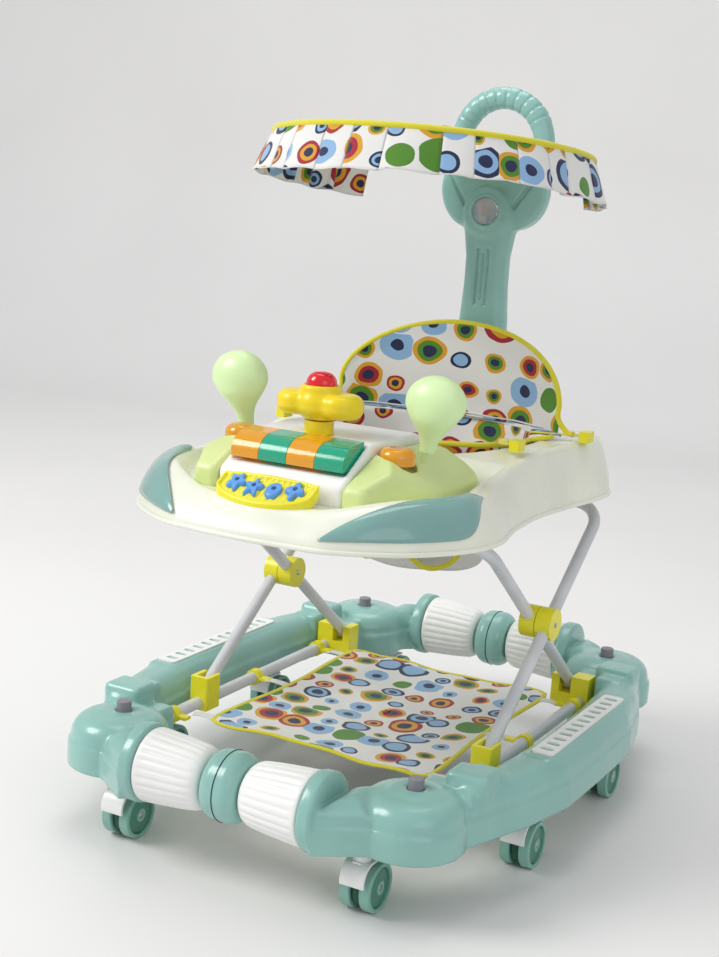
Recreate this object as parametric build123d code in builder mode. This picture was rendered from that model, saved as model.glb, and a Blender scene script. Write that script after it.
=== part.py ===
"""Baby walker: a wheeled ring base, a scissor lift, an activity tray with a sling seat, a push handle
and a tilting sun canopy.  Millimetres, +Z up, -Y is the walker's front, origin on the floor at the centre."""
from build123d import *
import os
from math import cos, hypot, radians, sin

os.makedirs("parts", exist_ok=True)

# ---- base ring -------------------------------------------------------------------------------------
RIM_Z = 76.0              # lower edge of the base shells
CROWN_Z = 138.0           # top of the base shells
BASE_HALF_X = 311.0       # widest point of a side beam
LOBE_X, LOBE_Y, LOBE_R = 200.0, 315.0, 63.0
BAR_Y, BAR_Z = 372.0, 112.0          # axis of the front and rear bars
COLLAR_R = 47.0
COLLAR_X0, COLLAR_X1 = 110.0, 128.0
WALL = 3.0
TUBE_R = 8.0              # every steel tube
TUBE_WALL = 1.5
FIT = 0.06                # radial running clearance
PLUG_Y, PLUG_R = 309.0, 9.0

# ---- drums -----------------------------------------------------------------------------------------
DRUM_X0, DRUM_X1 = 27.0, 109.0
DRUM_R0, DRUM_R1 = 36.5, 43.8
HUB_R, HUB_X = 41.5, 24.0

# ---- casters ---------------------------------------------------------------------------------------
WHEEL_R = 28.5
WHEEL_W = 13.0
WHEEL_GAP = 12.0          # space between the twin wheels
TRAIL = 12.0              # axle behind the swivel axis
STEM_R = 4.5
CASTERS = {
    "front": (163.0, -354.0),
    "side_front": (262.0, -141.0),
    "side_rear": (262.0, 129.0),
    "rear": (163.0, 338.0),
}

# ---- scissor legs ----------------------------------------------------------------------------------
RAIL_X, RAIL_Z = 204.0, 102.0
RAIL_END_Y = 250.0
OUTER_X = 204.0           # legs that stand on the sliders
INNER_X = 182.0           # legs that stand on the rear brackets
PIVOT_Z, TOP_Z = 120.0, 378.0
FRONT_Y, REAR_Y = -126.0, 216.0
HUB_Y, HUB_Z = (FRONT_Y + REAR_Y) / 2, (PIVOT_Z + TOP_Z) / 2
LEG_DIR = Vector(0, REAR_Y - FRONT_Y, TOP_Z - PIVOT_Z).normalized()
BEND_R = 42.0
PIN_R = 3.5
PUCK_R, PUCK_T = 21.0, 21.0

# ---- tray ------------------------------------------------------------------------------------------
TRAY_Z0, TRAY_Z1 = 400.0, 448.0
DISH_Z = 436.0
WING_Z = 478.0
OPEN_Y, OPEN_A, OPEN_B = 62.0, 150.0, 128.0      # seat opening
PANEL_X = 80.0            # console body half width
CONSOLE_Z = 500.0
KEY_PITCH, KEY_W = 37.0, 36.2
KEY_Y0, KEY_Y1 = -294.0, -246.0
DOME_X, DOME_Y, DOME_R = 105.0, -222.0, 21.0
WHEEL_Y = -222.0          # steering column
MIRROR_X, MIRROR_Y = 123.0, -184.0

# ---- push handle and canopy ------------------------------------------------------------------------
POLE_Y = 225.0
LOOP_Y, LOOP_Z, LOOP_R, LOOP_TUBE = 243.0, 854.5, 62.0, 14.5
HEAD_Z = 762.0
CANOPY_Y, CANOPY_Z, CANOPY_A, CANOPY_B = 25.0, 845.0, 205.0, 182.0
CANOPY_TILT = 5.7         # degrees, the front edge is the higher one
VALANCE = 62.0
HINGE_Y, HINGE_Z = 222.0, 826.0
PIVOT_PIN_R = 4.0


def edges_at(part, z):
    """Edges of a part that lie flat at one height."""
    return part.edges().filter_by_position(Axis.Z, z - 0.01, z + 0.01)


# ==== base shells ===================================================================================
def shell_plan(inset=0.0):
    """Plan of the right half of the base: a bowed side beam, two round corner lobes, two short arms."""
    bow = [(262, 283), (293, 190), (BASE_HALF_X - 2, 110), (BASE_HALF_X, 0)]
    outer = [(x - inset, y) for x, y in bow]
    inner = [(222 + inset, 222), (233 + inset, 110), (236 + inset, 0)]
    block = [(182 + inset, 228 + inset), (182 + inset, 300 - inset)]
    with BuildSketch() as plan:
        with BuildLine():
            Spline(*outer, *[(x, -y) for x, y in outer[-2::-1]])
            Polyline(outer[0], block[1], block[0], inner[0])
            Spline(*inner, *[(x, -y) for x, y in inner[-2::-1]])
            Polyline(*[(x, -y) for x, y in (outer[0], block[1], block[0], inner[0])])
        make_face()
        with Locations((LOBE_X, LOBE_Y), (LOBE_X, -LOBE_Y)):
            Circle(LOBE_R - inset)
        for end in (-1, 1):
            arm = [(COLLAR_X1 - 1, BAR_Y - 38 + inset), (150, 312 + inset), (200, 290 + inset),
                   (200, 368 - inset), (172, 368 - inset), (COLLAR_X1 - 1, BAR_Y + 34 - inset)]
            with BuildLine():
                Polyline(*[(x, end * y) for x, y in arm], close=True)
            make_face()
    return plan.sketch


with BuildPart() as base_right_shell:
    with BuildSketch(Plane.XY.offset(RIM_Z)):
        add(shell_plan())
    extrude(amount=CROWN_Z - RIM_Z)
    fillet(edges_at(base_right_shell, CROWN_Z), 13.0)
    for end in (-1, 1):
        # collar that takes the end of the bar
        with BuildSketch(Plane.YZ.offset(COLLAR_X0)):
            with Locations((end * BAR_Y, BAR_Z)):
                Circle(COLLAR_R)
        extrude(amount=COLLAR_X1 - COLLAR_X0)
    fillet(base_right_shell.edges().filter_by(GeomType.CIRCLE).filter_by(
        lambda e: abs(e.radius - COLLAR_R) < 0.01 and e.center().X < COLLAR_X0 + 1), 4.0)
    with BuildSketch(Plane.XY.offset(RIM_Z)):
        add(shell_plan(WALL))
    extrude(amount=48, mode=Mode.SUBTRACT)
    with BuildSketch(Plane.XY.offset(RIM_Z + 47)):
        add(shell_plan(16))
    extrude(amount=12, mode=Mode.SUBTRACT)
    for end in (-1, 1):
        # raised blocks beside the corner: the low one holds the rail, the tall one is a bump stop
        with BuildSketch(Plane.XY.offset(RIM_Z)):
            with Locations((202, end * 262)):
                RectangleRounded(44, 68, 6)
        extrude(amount=128 - RIM_Z)
        with BuildSketch(Plane.XY.offset(122)):
            with Locations((240, end * 243)):
                RectangleRounded(54, 42, 7)
        extrude(amount=28, taper=4)
        with BuildSketch(Plane.XY.offset(112)):
            with Locations((LOBE_X, end * PLUG_Y)):
                Circle(16)
        extrude(amount=140 - 112)
        with Locations((LOBE_X, end * PLUG_Y, 140)):
            Hole(PLUG_R + FIT, depth=28.5)
        # inner plate that the bar tube is pressed into
        with Locations((COLLAR_X1 + 22, end * BAR_Y, BAR_Z)):
            Box(46, 30, 30)
        with BuildSketch(Plane.YZ.offset(COLLAR_X0 - 1)):
            with Locations((end * BAR_Y, BAR_Z)):
                Circle(TUBE_R + 0.02)
        extrude(amount=62, mode=Mode.SUBTRACT)
        with BuildSketch(Plane.XZ.offset(-end * 215)):
            with Locations((RAIL_X, RAIL_Z)):
                Circle(TUBE_R + 0.02)
        extrude(amount=-end * 37, mode=Mode.SUBTRACT)
    for name, (stem_x, stem_y) in CASTERS.items():
        # socket of a caster stem
        with BuildSketch(Plane.XY.offset(RIM_Z - 4)):
            with Locations((stem_x, stem_y)):
                Circle(9.5)
        extrude(amount=CROWN_Z - 2 - (RIM_Z - 4))
        with BuildSketch(Plane.XY.offset(RIM_Z - 5)):
            with Locations((stem_x, stem_y)):
                Circle(STEM_R + FIT)
        extrude(amount=33, mode=Mode.SUBTRACT)
base_right_shell.part.label = "base_right_shell"
export_step(base_right_shell.part, "parts/base_right_shell.step")

with BuildPart() as base_left_shell:
    mirror(base_right_shell.part, about=Plane.YZ)
base_left_shell.part.label = "base_left_shell"
export_step(base_left_shell.part, "parts/base_left_shell.step")

# ==== bars, hub shells and drums ====================================================================
with BuildPart() as cross_tubes:
    for end in (-1, 1):
        with BuildSketch(Plane.YZ.offset(-168)):
            with Locations((end * BAR_Y, BAR_Z)):
                Circle(TUBE_R)
                Circle(TUBE_R - TUBE_WALL, mode=Mode.SUBTRACT)
        extrude(amount=336)
cross_tubes.part.label = "cross_tubes"
export_step(cross_tubes.part, "parts/cross_tubes.step")

with BuildPart() as hub_shells:
    for end in (-1, 1):
        for side in (-1, 1):
            bar_plane = Plane(origin=(0, end * BAR_Y, BAR_Z), x_dir=(side, 0, 0), z_dir=(0, -1, 0))
            with BuildSketch(bar_plane):
                with BuildLine():
                    Line((0.2, TUBE_R + 0.05), (0.2, HUB_R))
                    Line((0.2, HUB_R), (9, HUB_R))
                    ThreePointArc((9, HUB_R), (20, 36), (HUB_X, 26))
                    Line((HUB_X, 26), (HUB_X, TUBE_R + 0.05))
                    Line((HUB_X, TUBE_R + 0.05), (HUB_X - 5, TUBE_R + 0.05))
                    Line((HUB_X - 5, TUBE_R + 0.05), (HUB_X - 5, 25))
                    ThreePointArc((HUB_X - 5, 25), (16.5, 33), (8, HUB_R - WALL))
                    Line((8, HUB_R - WALL), (3.2, HUB_R - WALL))
                    Line((3.2, HUB_R - WALL), (3.2, TUBE_R + 0.05))
                    Line((3.2, TUBE_R + 0.05), (0.2, TUBE_R + 0.05))
                make_face()
            revolve(axis=Axis((0, end * BAR_Y, BAR_Z), (1, 0, 0)))
hub_shells.part.label = "hub_shells"
export_step(hub_shells.part, "parts/hub_shells.step")


def drum(side, end):
    """Hollow white drum that turns on the bar, fat end outwards, with a bush at each end."""
    bar_plane = Plane(origin=(0, end * BAR_Y, BAR_Z), x_dir=(side, 0, 0), z_dir=(0, -1, 0))
    bore = TUBE_R + FIT
    with BuildPart() as shell:
        with BuildSketch(bar_plane):
            with BuildLine():
                Polyline((DRUM_X0, bore), (DRUM_X0, DRUM_R0 - 8))
                ThreePointArc((DRUM_X0, DRUM_R0 - 8), (DRUM_X0 + 2.4, DRUM_R0 - 2.4), (DRUM_X0 + 9, DRUM_R0 + 0.6))
                Spline((DRUM_X0 + 9, DRUM_R0 + 0.6), (72, 41.5), (DRUM_X1 - 4, DRUM_R1))
                Polyline((DRUM_X1 - 4, DRUM_R1), (DRUM_X1, DRUM_R1 - 1.5), (DRUM_X1, bore), (DRUM_X1 - 12, bore),
                         (DRUM_X1 - 12, 14), (DRUM_X1 - WALL, 14), (DRUM_X1 - WALL, DRUM_R1 - 5),
                         (DRUM_X0 + 9, DRUM_R0 - 5), (DRUM_X0 + WALL, DRUM_R0 - 10), (DRUM_X0 + WALL, 14),
                         (DRUM_X0 + 12, 14), (DRUM_X0 + 12, bore), (DRUM_X0, bore))
            make_face()
        revolve(axis=Axis((0, end * BAR_Y, BAR_Z), (1, 0, 0)))
    return shell


for end, end_name in ((-1, "front"), (1, "rear")):
    for side, side_name in ((-1, "left"), (1, "right")):
        roller = drum(side, end)
        roller.part.label = f"drum_{end_name}_{side_name}"
        export_step(roller.part, f"parts/drum_{end_name}_{side_name}.step")

        with BuildPart() as stopper:
            with BuildSketch(Plane.XY.offset(113)):
                with Locations((side * LOBE_X, end * PLUG_Y)):
                    Circle(PLUG_R)
            extrude(amount=39)
            fillet(edges_at(stopper, 152), 1.5)
        stopper.part.label = f"stopper_{end_name}_{side_name}"
        export_step(stopper.part, f"parts/stopper_{end_name}_{side_name}.step")

# ==== casters =======================================================================================
for place, (stem_x, stem_y) in CASTERS.items():
    for side, side_name in ((-1, "left"), (1, "right")):
        axle_y = stem_y + TRAIL
        with BuildPart() as caster_housing:
            # stem and its flange
            with BuildSketch(Plane.XY.offset(62)):
                with Locations((side * stem_x, stem_y)):
                    Circle(STEM_R)
            extrude(amount=38)
            with BuildSketch(Plane.XY.offset(60)):
                with Locations((side * stem_x, stem_y)):
                    Circle(11)
            extrude(amount=9)
            # web between the wheels
            with BuildSketch(Plane.YZ.offset(side * stem_x - WHEEL_GAP / 2 + 0.6)):
                with Locations((axle_y, WHEEL_R)):
                    Circle(WHEEL_R - 5)
                with Locations((stem_y - 2, 52)):
                    Rectangle(22, 22)
            extrude(amount=WHEEL_GAP - 1.2)
            # tongue over the front of the wheels
            with BuildSketch(Plane.YZ.offset(side * stem_x - 15)):
                with BuildLine():
                    Line((stem_y + 12, 60.5), (stem_y + 12, 63))
                    Line((stem_y + 12, 63), (stem_y - 8, 63))
                    ThreePointArc((stem_y - 8, 63), (stem_y - 19, 56), (stem_y - 23, 38))
                    Line((stem_y - 23, 38), (stem_y - 20.2, 38))
                    ThreePointArc((stem_y - 20.2, 38), (stem_y - 16, 54), (stem_y - 4, 60.5))
                    Line((stem_y - 4, 60.5), (stem_y + 12, 60.5))
                make_face()
            extrude(amount=30)
            # axle
            with BuildSketch(Plane.YZ.offset(side * stem_x - WHEEL_GAP / 2 - WHEEL_W + 2)):
                with Locations((axle_y, WHEEL_R)):
                    Circle(PIN_R)
            extrude(amount=WHEEL_GAP + 2 * WHEEL_W - 4)
        caster_housing.part.label = f"caster_{place}_{side_name}"
        export_step(caster_housing.part, f"parts/caster_{place}_{side_name}.step")

        with BuildPart() as wheel_pair:
            for hand in (-1, 1):
                inner_x = side * stem_x + hand * WHEEL_GAP / 2
                with BuildSketch(Plane.YZ.offset(inner_x)):
                    with Locations((axle_y, WHEEL_R)):
                        Circle(WHEEL_R)
                extrude(amount=hand * WHEEL_W)
                with BuildSketch(Plane.YZ.offset(inner_x + hand * (WHEEL_W - 3))):
                    with Locations((axle_y, WHEEL_R)):
                        Circle(WHEEL_R - 5)
                extrude(amount=hand * 4, mode=Mode.SUBTRACT)
                with BuildSketch(Plane.YZ.offset(inner_x + hand * (WHEEL_W - 4))):
                    with Locations((axle_y, WHEEL_R)):
                        Circle(8)
                extrude(amount=hand * 4)
            with BuildSketch(Plane.YZ.offset(side * stem_x - 40)):
                with Locations((axle_y, WHEEL_R)):
                    Circle(PIN_R + FIT)
            extrude(amount=80, mode=Mode.SUBTRACT)
            fillet(wheel_pair.edges().filter_by(GeomType.CIRCLE).filter_by(
                lambda e: abs(e.radius - WHEEL_R) < 0.01), 1.6)
        wheel_pair.part.label = f"wheels_{place}_{side_name}"
        export_step(wheel_pair.part, f"parts/wheels_{place}_{side_name}.step")

# ==== rails, mat and its clips ======================================================================
with BuildPart() as side_rails:
    for side in (-1, 1):
        with BuildSketch(Plane.XZ.offset(RAIL_END_Y)):
            with Locations((side * RAIL_X, RAIL_Z)):
                Circle(TUBE_R)
                Circle(TUBE_R - TUBE_WALL, mode=Mode.SUBTRACT)
        extrude(amount=-2 * RAIL_END_Y)
side_rails.part.label = "side_rails"
export_step(side_rails.part, "parts/side_rails.step")

MAT_CLIPS_Y = (-200.0, -2.0, 170.0)
with BuildPart() as mat_clips:
    for side in (-1, 1):
        for clip_y in MAT_CLIPS_Y:
            with BuildSketch(Plane.XZ.offset(-clip_y - 6)):
                with Locations((side * RAIL_X, RAIL_Z)):
                    Circle(11)
                with Locations((side * (RAIL_X - 17), RAIL_Z)):
                    Rectangle(16, 4)
                with Locations((side * RAIL_X, RAIL_Z)):
                    Circle(TUBE_R + 0.02, mode=Mode.SUBTRACT)
            extrude(amount=12)
mat_clips.part.label = "mat_clips"
export_step(mat_clips.part, "parts/mat_clips.step")

MAT_X, MAT_Y0, MAT_Y1 = 153.0, -183.0, 205.0
with BuildPart() as footrest_mat:
    with BuildSketch(Plane.XY.offset(97)):
        with Locations((0, (MAT_Y0 + MAT_Y1) / 2)):
            RectangleRounded(2 * MAT_X, MAT_Y1 - MAT_Y0, 22)
        for side in (-1, 1):
            for strap_y in (-178, -2, 170):
                with Locations((side * (MAT_X + 9), strap_y)):
                    Rectangle(33, 14)
    extrude(amount=3)
footrest_mat.part.label = "footrest_mat"
export_step(footrest_mat.part, "parts/footrest_mat.step")

# ==== tread strips on the side beams ================================================================
STRIP_Y0, STRIP_Y1, SLOTS = -122.0, 138.0, 12
with BuildPart() as tread_strips:
    for side in (-1, 1):
        with BuildSketch(Plane.XY.offset(CROWN_Z + 0.1)):
            with Locations((side * 273, (STRIP_Y0 + STRIP_Y1) / 2)):
                RectangleRounded(28, STRIP_Y1 - STRIP_Y0, 6)
                with GridLocations(0, 20.5, 1, SLOTS):
                    SlotOverall(18, 9, mode=Mode.SUBTRACT)
        extrude(amount=3)
tread_strips.part.label = "tread_strips"
export_step(tread_strips.part, "parts/tread_strips.step")

# ==== rear brackets and front sliders ===============================================================
with BuildPart() as rear_leg_brackets:
    for side in (-1, 1):
        with Locations((side * (INNER_X + 7), REAR_Y - 9, 114)):
            Box(54, 28, 44)
        # slot for the foot of the inner leg, open upwards and forwards
        with Locations((side * INNER_X, REAR_Y - 8, 126)):
            Box(2 * TUBE_R + 1, 36, 29, mode=Mode.SUBTRACT)
        with BuildSketch(Plane.XZ.offset(-REAR_Y - 20)):
            with Locations((side * RAIL_X, RAIL_Z)):
                Circle(TUBE_R + 0.02)
        extrude(amount=60, mode=Mode.SUBTRACT)
        with BuildSketch(Plane.YZ.offset(side * (INNER_X - 15))):
            with Locations((REAR_Y, PIVOT_Z)):
                Circle(PIN_R)
        extrude(amount=side * 30)
rear_leg_brackets.part.label = "rear_leg_brackets"
export_step(rear_leg_brackets.part, "parts/rear_leg_brackets.step")

with BuildPart() as front_sliders:
    for side in (-1, 1):
        with Locations((side * OUTER_X, FRONT_Y, 114.5)):
            Box(27, 32, 45)
        fillet(front_sliders.edges().filter_by(Axis.Z).filter_by(
            lambda e: e.center().X * side > 0 and abs(e.length - 45) < 0.1), 2.5)
        # slot for the foot of the outer leg, open upwards and backwards
        with Locations((side * OUTER_X, FRONT_Y + 6, 126)):
            Box(2 * TUBE_R + 1, 30, 29, mode=Mode.SUBTRACT)
        with BuildSketch(Plane.XZ.offset(-FRONT_Y - 30)):
            with Locations((side * RAIL_X, RAIL_Z)):
                Circle(TUBE_R + FIT)
        extrude(amount=60, mode=Mode.SUBTRACT)
        with BuildSketch(Plane.YZ.offset(side * (OUTER_X - 13))):
            with Locations((FRONT_Y, PIVOT_Z)):
                Circle(PIN_R)
        extrude(amount=side * 26)
front_sliders.part.label = "front_sliders"
export_step(front_sliders.part, "parts/front_sliders.step")


# ==== scissor leg frames ============================================================================
def leg_frame(leg_x, foot_y, top_y):
    """U-shaped tube frame: two legs, one top cross tube, an eye with a pin hole at each foot."""
    with BuildPart() as frame:
        with BuildLine():
            FilletPolyline((leg_x, foot_y, PIVOT_Z), (leg_x, top_y, TOP_Z), (-leg_x, top_y, TOP_Z),
                           (-leg_x, foot_y, PIVOT_Z), radius=BEND_R)
        with BuildSketch(Plane(origin=(leg_x, foot_y, PIVOT_Z), x_dir=(1, 0, 0),
                               z_dir=(0, top_y - foot_y, TOP_Z - PIVOT_Z))):
            Circle(TUBE_R)
            Circle(TUBE_R - TUBE_WALL, mode=Mode.SUBTRACT)
        sweep()
        for side in (-1, 1):
            with BuildSketch(Plane.YZ.offset(side * leg_x - TUBE_R)):
                with Locations((foot_y, PIVOT_Z)):
                    Circle(TUBE_R)
            extrude(amount=2 * TUBE_R)
            with BuildSketch(Plane.YZ.offset(side * leg_x - TUBE_R - 1)):
                with Locations((foot_y, PIVOT_Z)):
                    Circle(PIN_R + FIT)
            extrude(amount=2 * TUBE_R + 2, mode=Mode.SUBTRACT)
    return frame


outer_leg_frame = leg_frame(OUTER_X, FRONT_Y, REAR_Y)
outer_leg_frame.part.label = "outer_leg_frame"
export_step(outer_leg_frame.part, "parts/outer_leg_frame.step")
inner_leg_frame = leg_frame(INNER_X, REAR_Y, FRONT_Y)
inner_leg_frame.part.label = "inner_leg_frame"
export_step(inner_leg_frame.part, "parts/inner_leg_frame.step")


def hub_pucks(leg_x, leg_y_dir, stub):
    """Yellow pucks clamped on a pair of legs where they cross; stub = +1 carries the pivot pin."""
    with BuildPart() as pucks:
        for side in (-1, 1):
            with BuildSketch(Plane.YZ.offset(side * (leg_x - PUCK_T / 2))):
                with Locations((HUB_Y, HUB_Z)):
                    Circle(PUCK_R)
            extrude(amount=side * PUCK_T)
            across = Plane(origin=(side * leg_x, HUB_Y, HUB_Z), x_dir=(1, 0, 0),
                           z_dir=(0, leg_y_dir * LEG_DIR.Y, LEG_DIR.Z))
            with BuildSketch(across.offset(-30)):
                Circle(TUBE_R + 0.02)
            extrude(amount=60, mode=Mode.SUBTRACT)
            if stub > 0:
                with BuildSketch(Plane.YZ.offset(side * (leg_x + PUCK_T / 2 - 0.5))):
                    with Locations((HUB_Y, HUB_Z)):
                        Circle(6)
                extrude(amount=side * 3.3)
            else:
                with BuildSketch(Plane.YZ.offset(side * (leg_x - PUCK_T / 2 - 1))):
                    with Locations((HUB_Y, HUB_Z)):
                        Circle(6 + FIT)
                extrude(amount=side * 3.4, mode=Mode.SUBTRACT)
    return pucks


outer_hub_pucks = hub_pucks(OUTER_X, 1, -1)
outer_hub_pucks.part.label = "outer_hub_pucks"
export_step(outer_hub_pucks.part, "parts/outer_hub_pucks.step")
inner_hub_pucks = hub_pucks(INNER_X, -1, 1)
inner_hub_pucks.part.label = "inner_hub_pucks"
export_step(inner_hub_pucks.part, "parts/inner_hub_pucks.step")


# ==== tray ==========================================================================================
TRAY_OUTLINE = [(0, -385), (60, -382), (112, -371), (176, -326), (218, -262), (229, -200), (214, -120),
                (207, -30), (214, 60), (223, 130), (221, 185), (198, 222), (130, 240), (0, 247)]


def tray_plan(inset=0.0):
    """Plan of the tray: broad rounded nose, waist at the seat, rear wings; inset moves the edge inwards."""
    half = []
    last = len(TRAY_OUTLINE) - 1
    for i, (x, y) in enumerate(TRAY_OUTLINE):
        before = TRAY_OUTLINE[i - 1] if i > 0 else (-TRAY_OUTLINE[1][0], TRAY_OUTLINE[1][1])
        after = TRAY_OUTLINE[i + 1] if i < last else (-TRAY_OUTLINE[-2][0], TRAY_OUTLINE[-2][1])
        along = (after[0] - before[0], after[1] - before[1])
        length = hypot(*along)
        half.append((x - inset * along[1] / length, y + inset * along[0] / length))
    with BuildSketch() as plan:
        with BuildLine():
            Spline(*half, tangents=((1, 0), (-1, 0)))
            Spline(*[(-x, y) for x, y in half], tangents=((-1, 0), (1, 0)))
        make_face()
    return plan.sketch


with BuildPart() as tray_shell:
    with BuildSketch(Plane.XY.offset(TRAY_Z0)):
        add(tray_plan())
    extrude(amount=TRAY_Z1 - TRAY_Z0 - 8)
    # rounded upper rim in two steps
    for z, rise, inset in ((TRAY_Z1 - 8, 5, 1.5), (TRAY_Z1 - 3, 3, 5)):
        with BuildSketch(Plane.XY.offset(z)):
            add(tray_plan(inset))
        extrude(amount=rise)
    # raised rear wings
    with BuildSketch(Plane.XY.offset(TRAY_Z1 - 12)):
        add(tray_plan(8))
        with Locations((0, -250)):
            Rectangle(600, 400, mode=Mode.SUBTRACT)
    extrude(amount=WING_Z - TRAY_Z1 + 12)
    # dish in front of the seat
    with BuildSketch(Plane.XY.offset(DISH_Z)):
        add(tray_plan(24))
        with Locations((0, 150)):
            Rectangle(600, 480, mode=Mode.SUBTRACT)
    extrude(amount=60, mode=Mode.SUBTRACT)
    # seat opening
    with BuildSketch(Plane.XY.offset(TRAY_Z0 - 1)):
        with Locations((0, OPEN_Y)):
            Ellipse(OPEN_A, OPEN_B)
    extrude(amount=120, mode=Mode.SUBTRACT)
    # hollow underside
    with BuildSketch(Plane.XY.offset(TRAY_Z0)):
        add(tray_plan(WALL))
        with Locations((0, OPEN_Y)):
            Ellipse(OPEN_A + WALL, OPEN_B + WALL, mode=Mode.SUBTRACT)
        for side in (-1, 1):
            with Locations((side * 150, REAR_Y - 8)):
                Rectangle(24, 70, mode=Mode.SUBTRACT)
    extrude(amount=DISH_Z - TRAY_Z0 - WALL, mode=Mode.SUBTRACT)
    # hollow inside the wings
    with BuildSketch(Plane.XY.offset(DISH_Z - WALL - 1)):
        add(tray_plan(13))
        with Locations((0, OPEN_Y)):
            Ellipse(OPEN_A + WALL, OPEN_B + WALL, mode=Mode.SUBTRACT)
        with Locations((0, -230)):
            Rectangle(600, 380, mode=Mode.SUBTRACT)
        with Locations((0, REAR_Y)):
            Rectangle(326, 120, mode=Mode.SUBTRACT)
    extrude(amount=WING_Z - DISH_Z, mode=Mode.SUBTRACT)
    for side in (-1, 1):
        # ears that hold the top cross tube of the outer legs
        with Locations((side * 150, REAR_Y, 392)):
            Box(22, 30, 50)
        with BuildSketch(Plane.YZ.offset(side * 135)):
            with Locations((REAR_Y, TOP_Z)):
                Circle(TUBE_R + FIT)
        extrude(amount=side * 30, mode=Mode.SUBTRACT)
    # socket of the handle pole
    with BuildSketch(Plane.XY.offset(430)):
        with Locations((0, POLE_Y)):
            Rectangle(92, 64)
    extrude(amount=38)
    with BuildSketch(Plane.XY.offset(445)):
        with Locations((0, POLE_Y)):
            RectangleRounded(72.4, 44.4, 18)
    extrude(amount=60, mode=Mode.SUBTRACT)
tray_shell.part.label = "tray_shell"
export_step(tray_shell.part, "parts/tray_shell.step")

# ---- sage inserts let into the nose of the tray: two at the front corners --------------------------
with BuildPart() as tray_inserts:
    for side in (-1, 1):
        with BuildSketch(Plane.XY.offset(TRAY_Z0 + 12)):
            with BuildLine():
                Polyline((side * 110, -380), (side * 116, -374.5), (side * 181, -328.5), (side * 223.5, -262),
                         (side * 232, -215), (side * 244, -215), (side * 238, -266), (side * 192, -338),
                         (side * 120, -386), close=True)
            make_face()
        extrude(amount=28)
tray_inserts.part.label = "tray_inserts"
export_step(tray_inserts.part, "parts/tray_inserts.step")

# ---- name plate: a ribbed smile-shaped plaque with four simple shapes ------------------------------
with BuildPart() as name_plate:
    with BuildSketch(Plane.XY.offset(DISH_Z + 0.1)):
        with Locations((0, -333)):
            Ellipse(62, 21)
    extrude(amount=5)
name_plate.part.label = "name_plate"
export_step(name_plate.part, "parts/name_plate.step")

# ==== console =======================================================================================
with BuildPart() as console_body:
    with BuildSketch(Plane.YZ.offset(-PANEL_X)):
        with BuildLine():
            Polyline((-310, DISH_Z + 0.1), (-310, 458), (-298, 470), (-244, CONSOLE_Z), (-118, CONSOLE_Z),
                     (-91, 470), (-91, DISH_Z + 0.1), close=True)
        make_face()
    extrude(amount=2 * PANEL_X)
    with Locations((0, (KEY_Y0 + KEY_Y1) / 2, 500)):
        Box(4 * KEY_PITCH + 1, KEY_Y1 - KEY_Y0 + 1.6, 66, mode=Mode.SUBTRACT)
    with BuildSketch(Plane.XY.offset(CONSOLE_Z - 22)):
        with Locations((0, WHEEL_Y)):
            Circle(15.3)
    extrude(amount=30, mode=Mode.SUBTRACT)
    with Locations((0, -200, DISH_Z + 12)):
        Box(2 * PANEL_X - 2 * WALL, 212, 30, mode=Mode.SUBTRACT)
console_body.part.label = "console_body"
export_step(console_body.part, "parts/console_body.step")

with BuildPart() as console_panels:
    for side in (-1, 1):
        with BuildSketch(Plane.XZ.offset(310)):
            with BuildLine():
                Polyline((side * (PANEL_X + 0.2), DISH_Z + 0.1), (side * 152, DISH_Z + 0.1), (side * 152, 462),
                         (side * 128, 486), (side * (PANEL_X + 0.2), 492), close=True)
            make_face()
        extrude(amount=-215)
        with Locations((side * 116, -180, DISH_Z + 10)):
            Box(62, 160, 28, mode=Mode.SUBTRACT)
        # front slope and rounded outer corner
        with BuildSketch(Plane.YZ.offset(side * (PANEL_X - 5))):
            with BuildLine():
                Polyline((-320, 452), (-240, 492), (-240, 520), (-320, 520), close=True)
            make_face()
        extrude(amount=side * 90, mode=Mode.SUBTRACT)
        with BuildSketch(Plane.XY.offset(DISH_Z)):
            with BuildLine():
                Polyline((side * 100, -320), (side * 160, -320), (side * 160, -235), close=True)
            make_face()
        extrude(amount=80, mode=Mode.SUBTRACT)
        with BuildSketch(Plane.XY.offset(474)):
            with Locations((side * DOME_X, DOME_Y)):
                Circle(DOME_R + 0.6)
        extrude(amount=30, mode=Mode.SUBTRACT)
        with BuildSketch(Plane.XY.offset(476)):
            with Locations((side * MIRROR_X, MIRROR_Y)):
                Circle(6.06)
        extrude(amount=30, mode=Mode.SUBTRACT)
console_panels.part.label = "console_panels"
export_step(console_panels.part, "parts/console_panels.step")

for number in range(4):
    key_x = (number - 1.5) * KEY_PITCH
    with BuildPart() as piano_key:
        with BuildSketch(Plane.YZ.offset(key_x - KEY_W / 2)):
            with BuildLine():
                Line((KEY_Y0, 473), (KEY_Y0, 482))
                ThreePointArc((KEY_Y0, 482), (KEY_Y0 + 9, 495), (KEY_Y0 + 26, 501))
                Line((KEY_Y0 + 26, 501), (KEY_Y1, 503))
                Line((KEY_Y1, 503), (KEY_Y1, 473))
                Line((KEY_Y1, 473), (KEY_Y0, 473))
            make_face()
        extrude(amount=KEY_W)
    piano_key.part.label = f"piano_key_{number + 1}"
    export_step(piano_key.part, f"parts/piano_key_{number + 1}.step")

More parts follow.
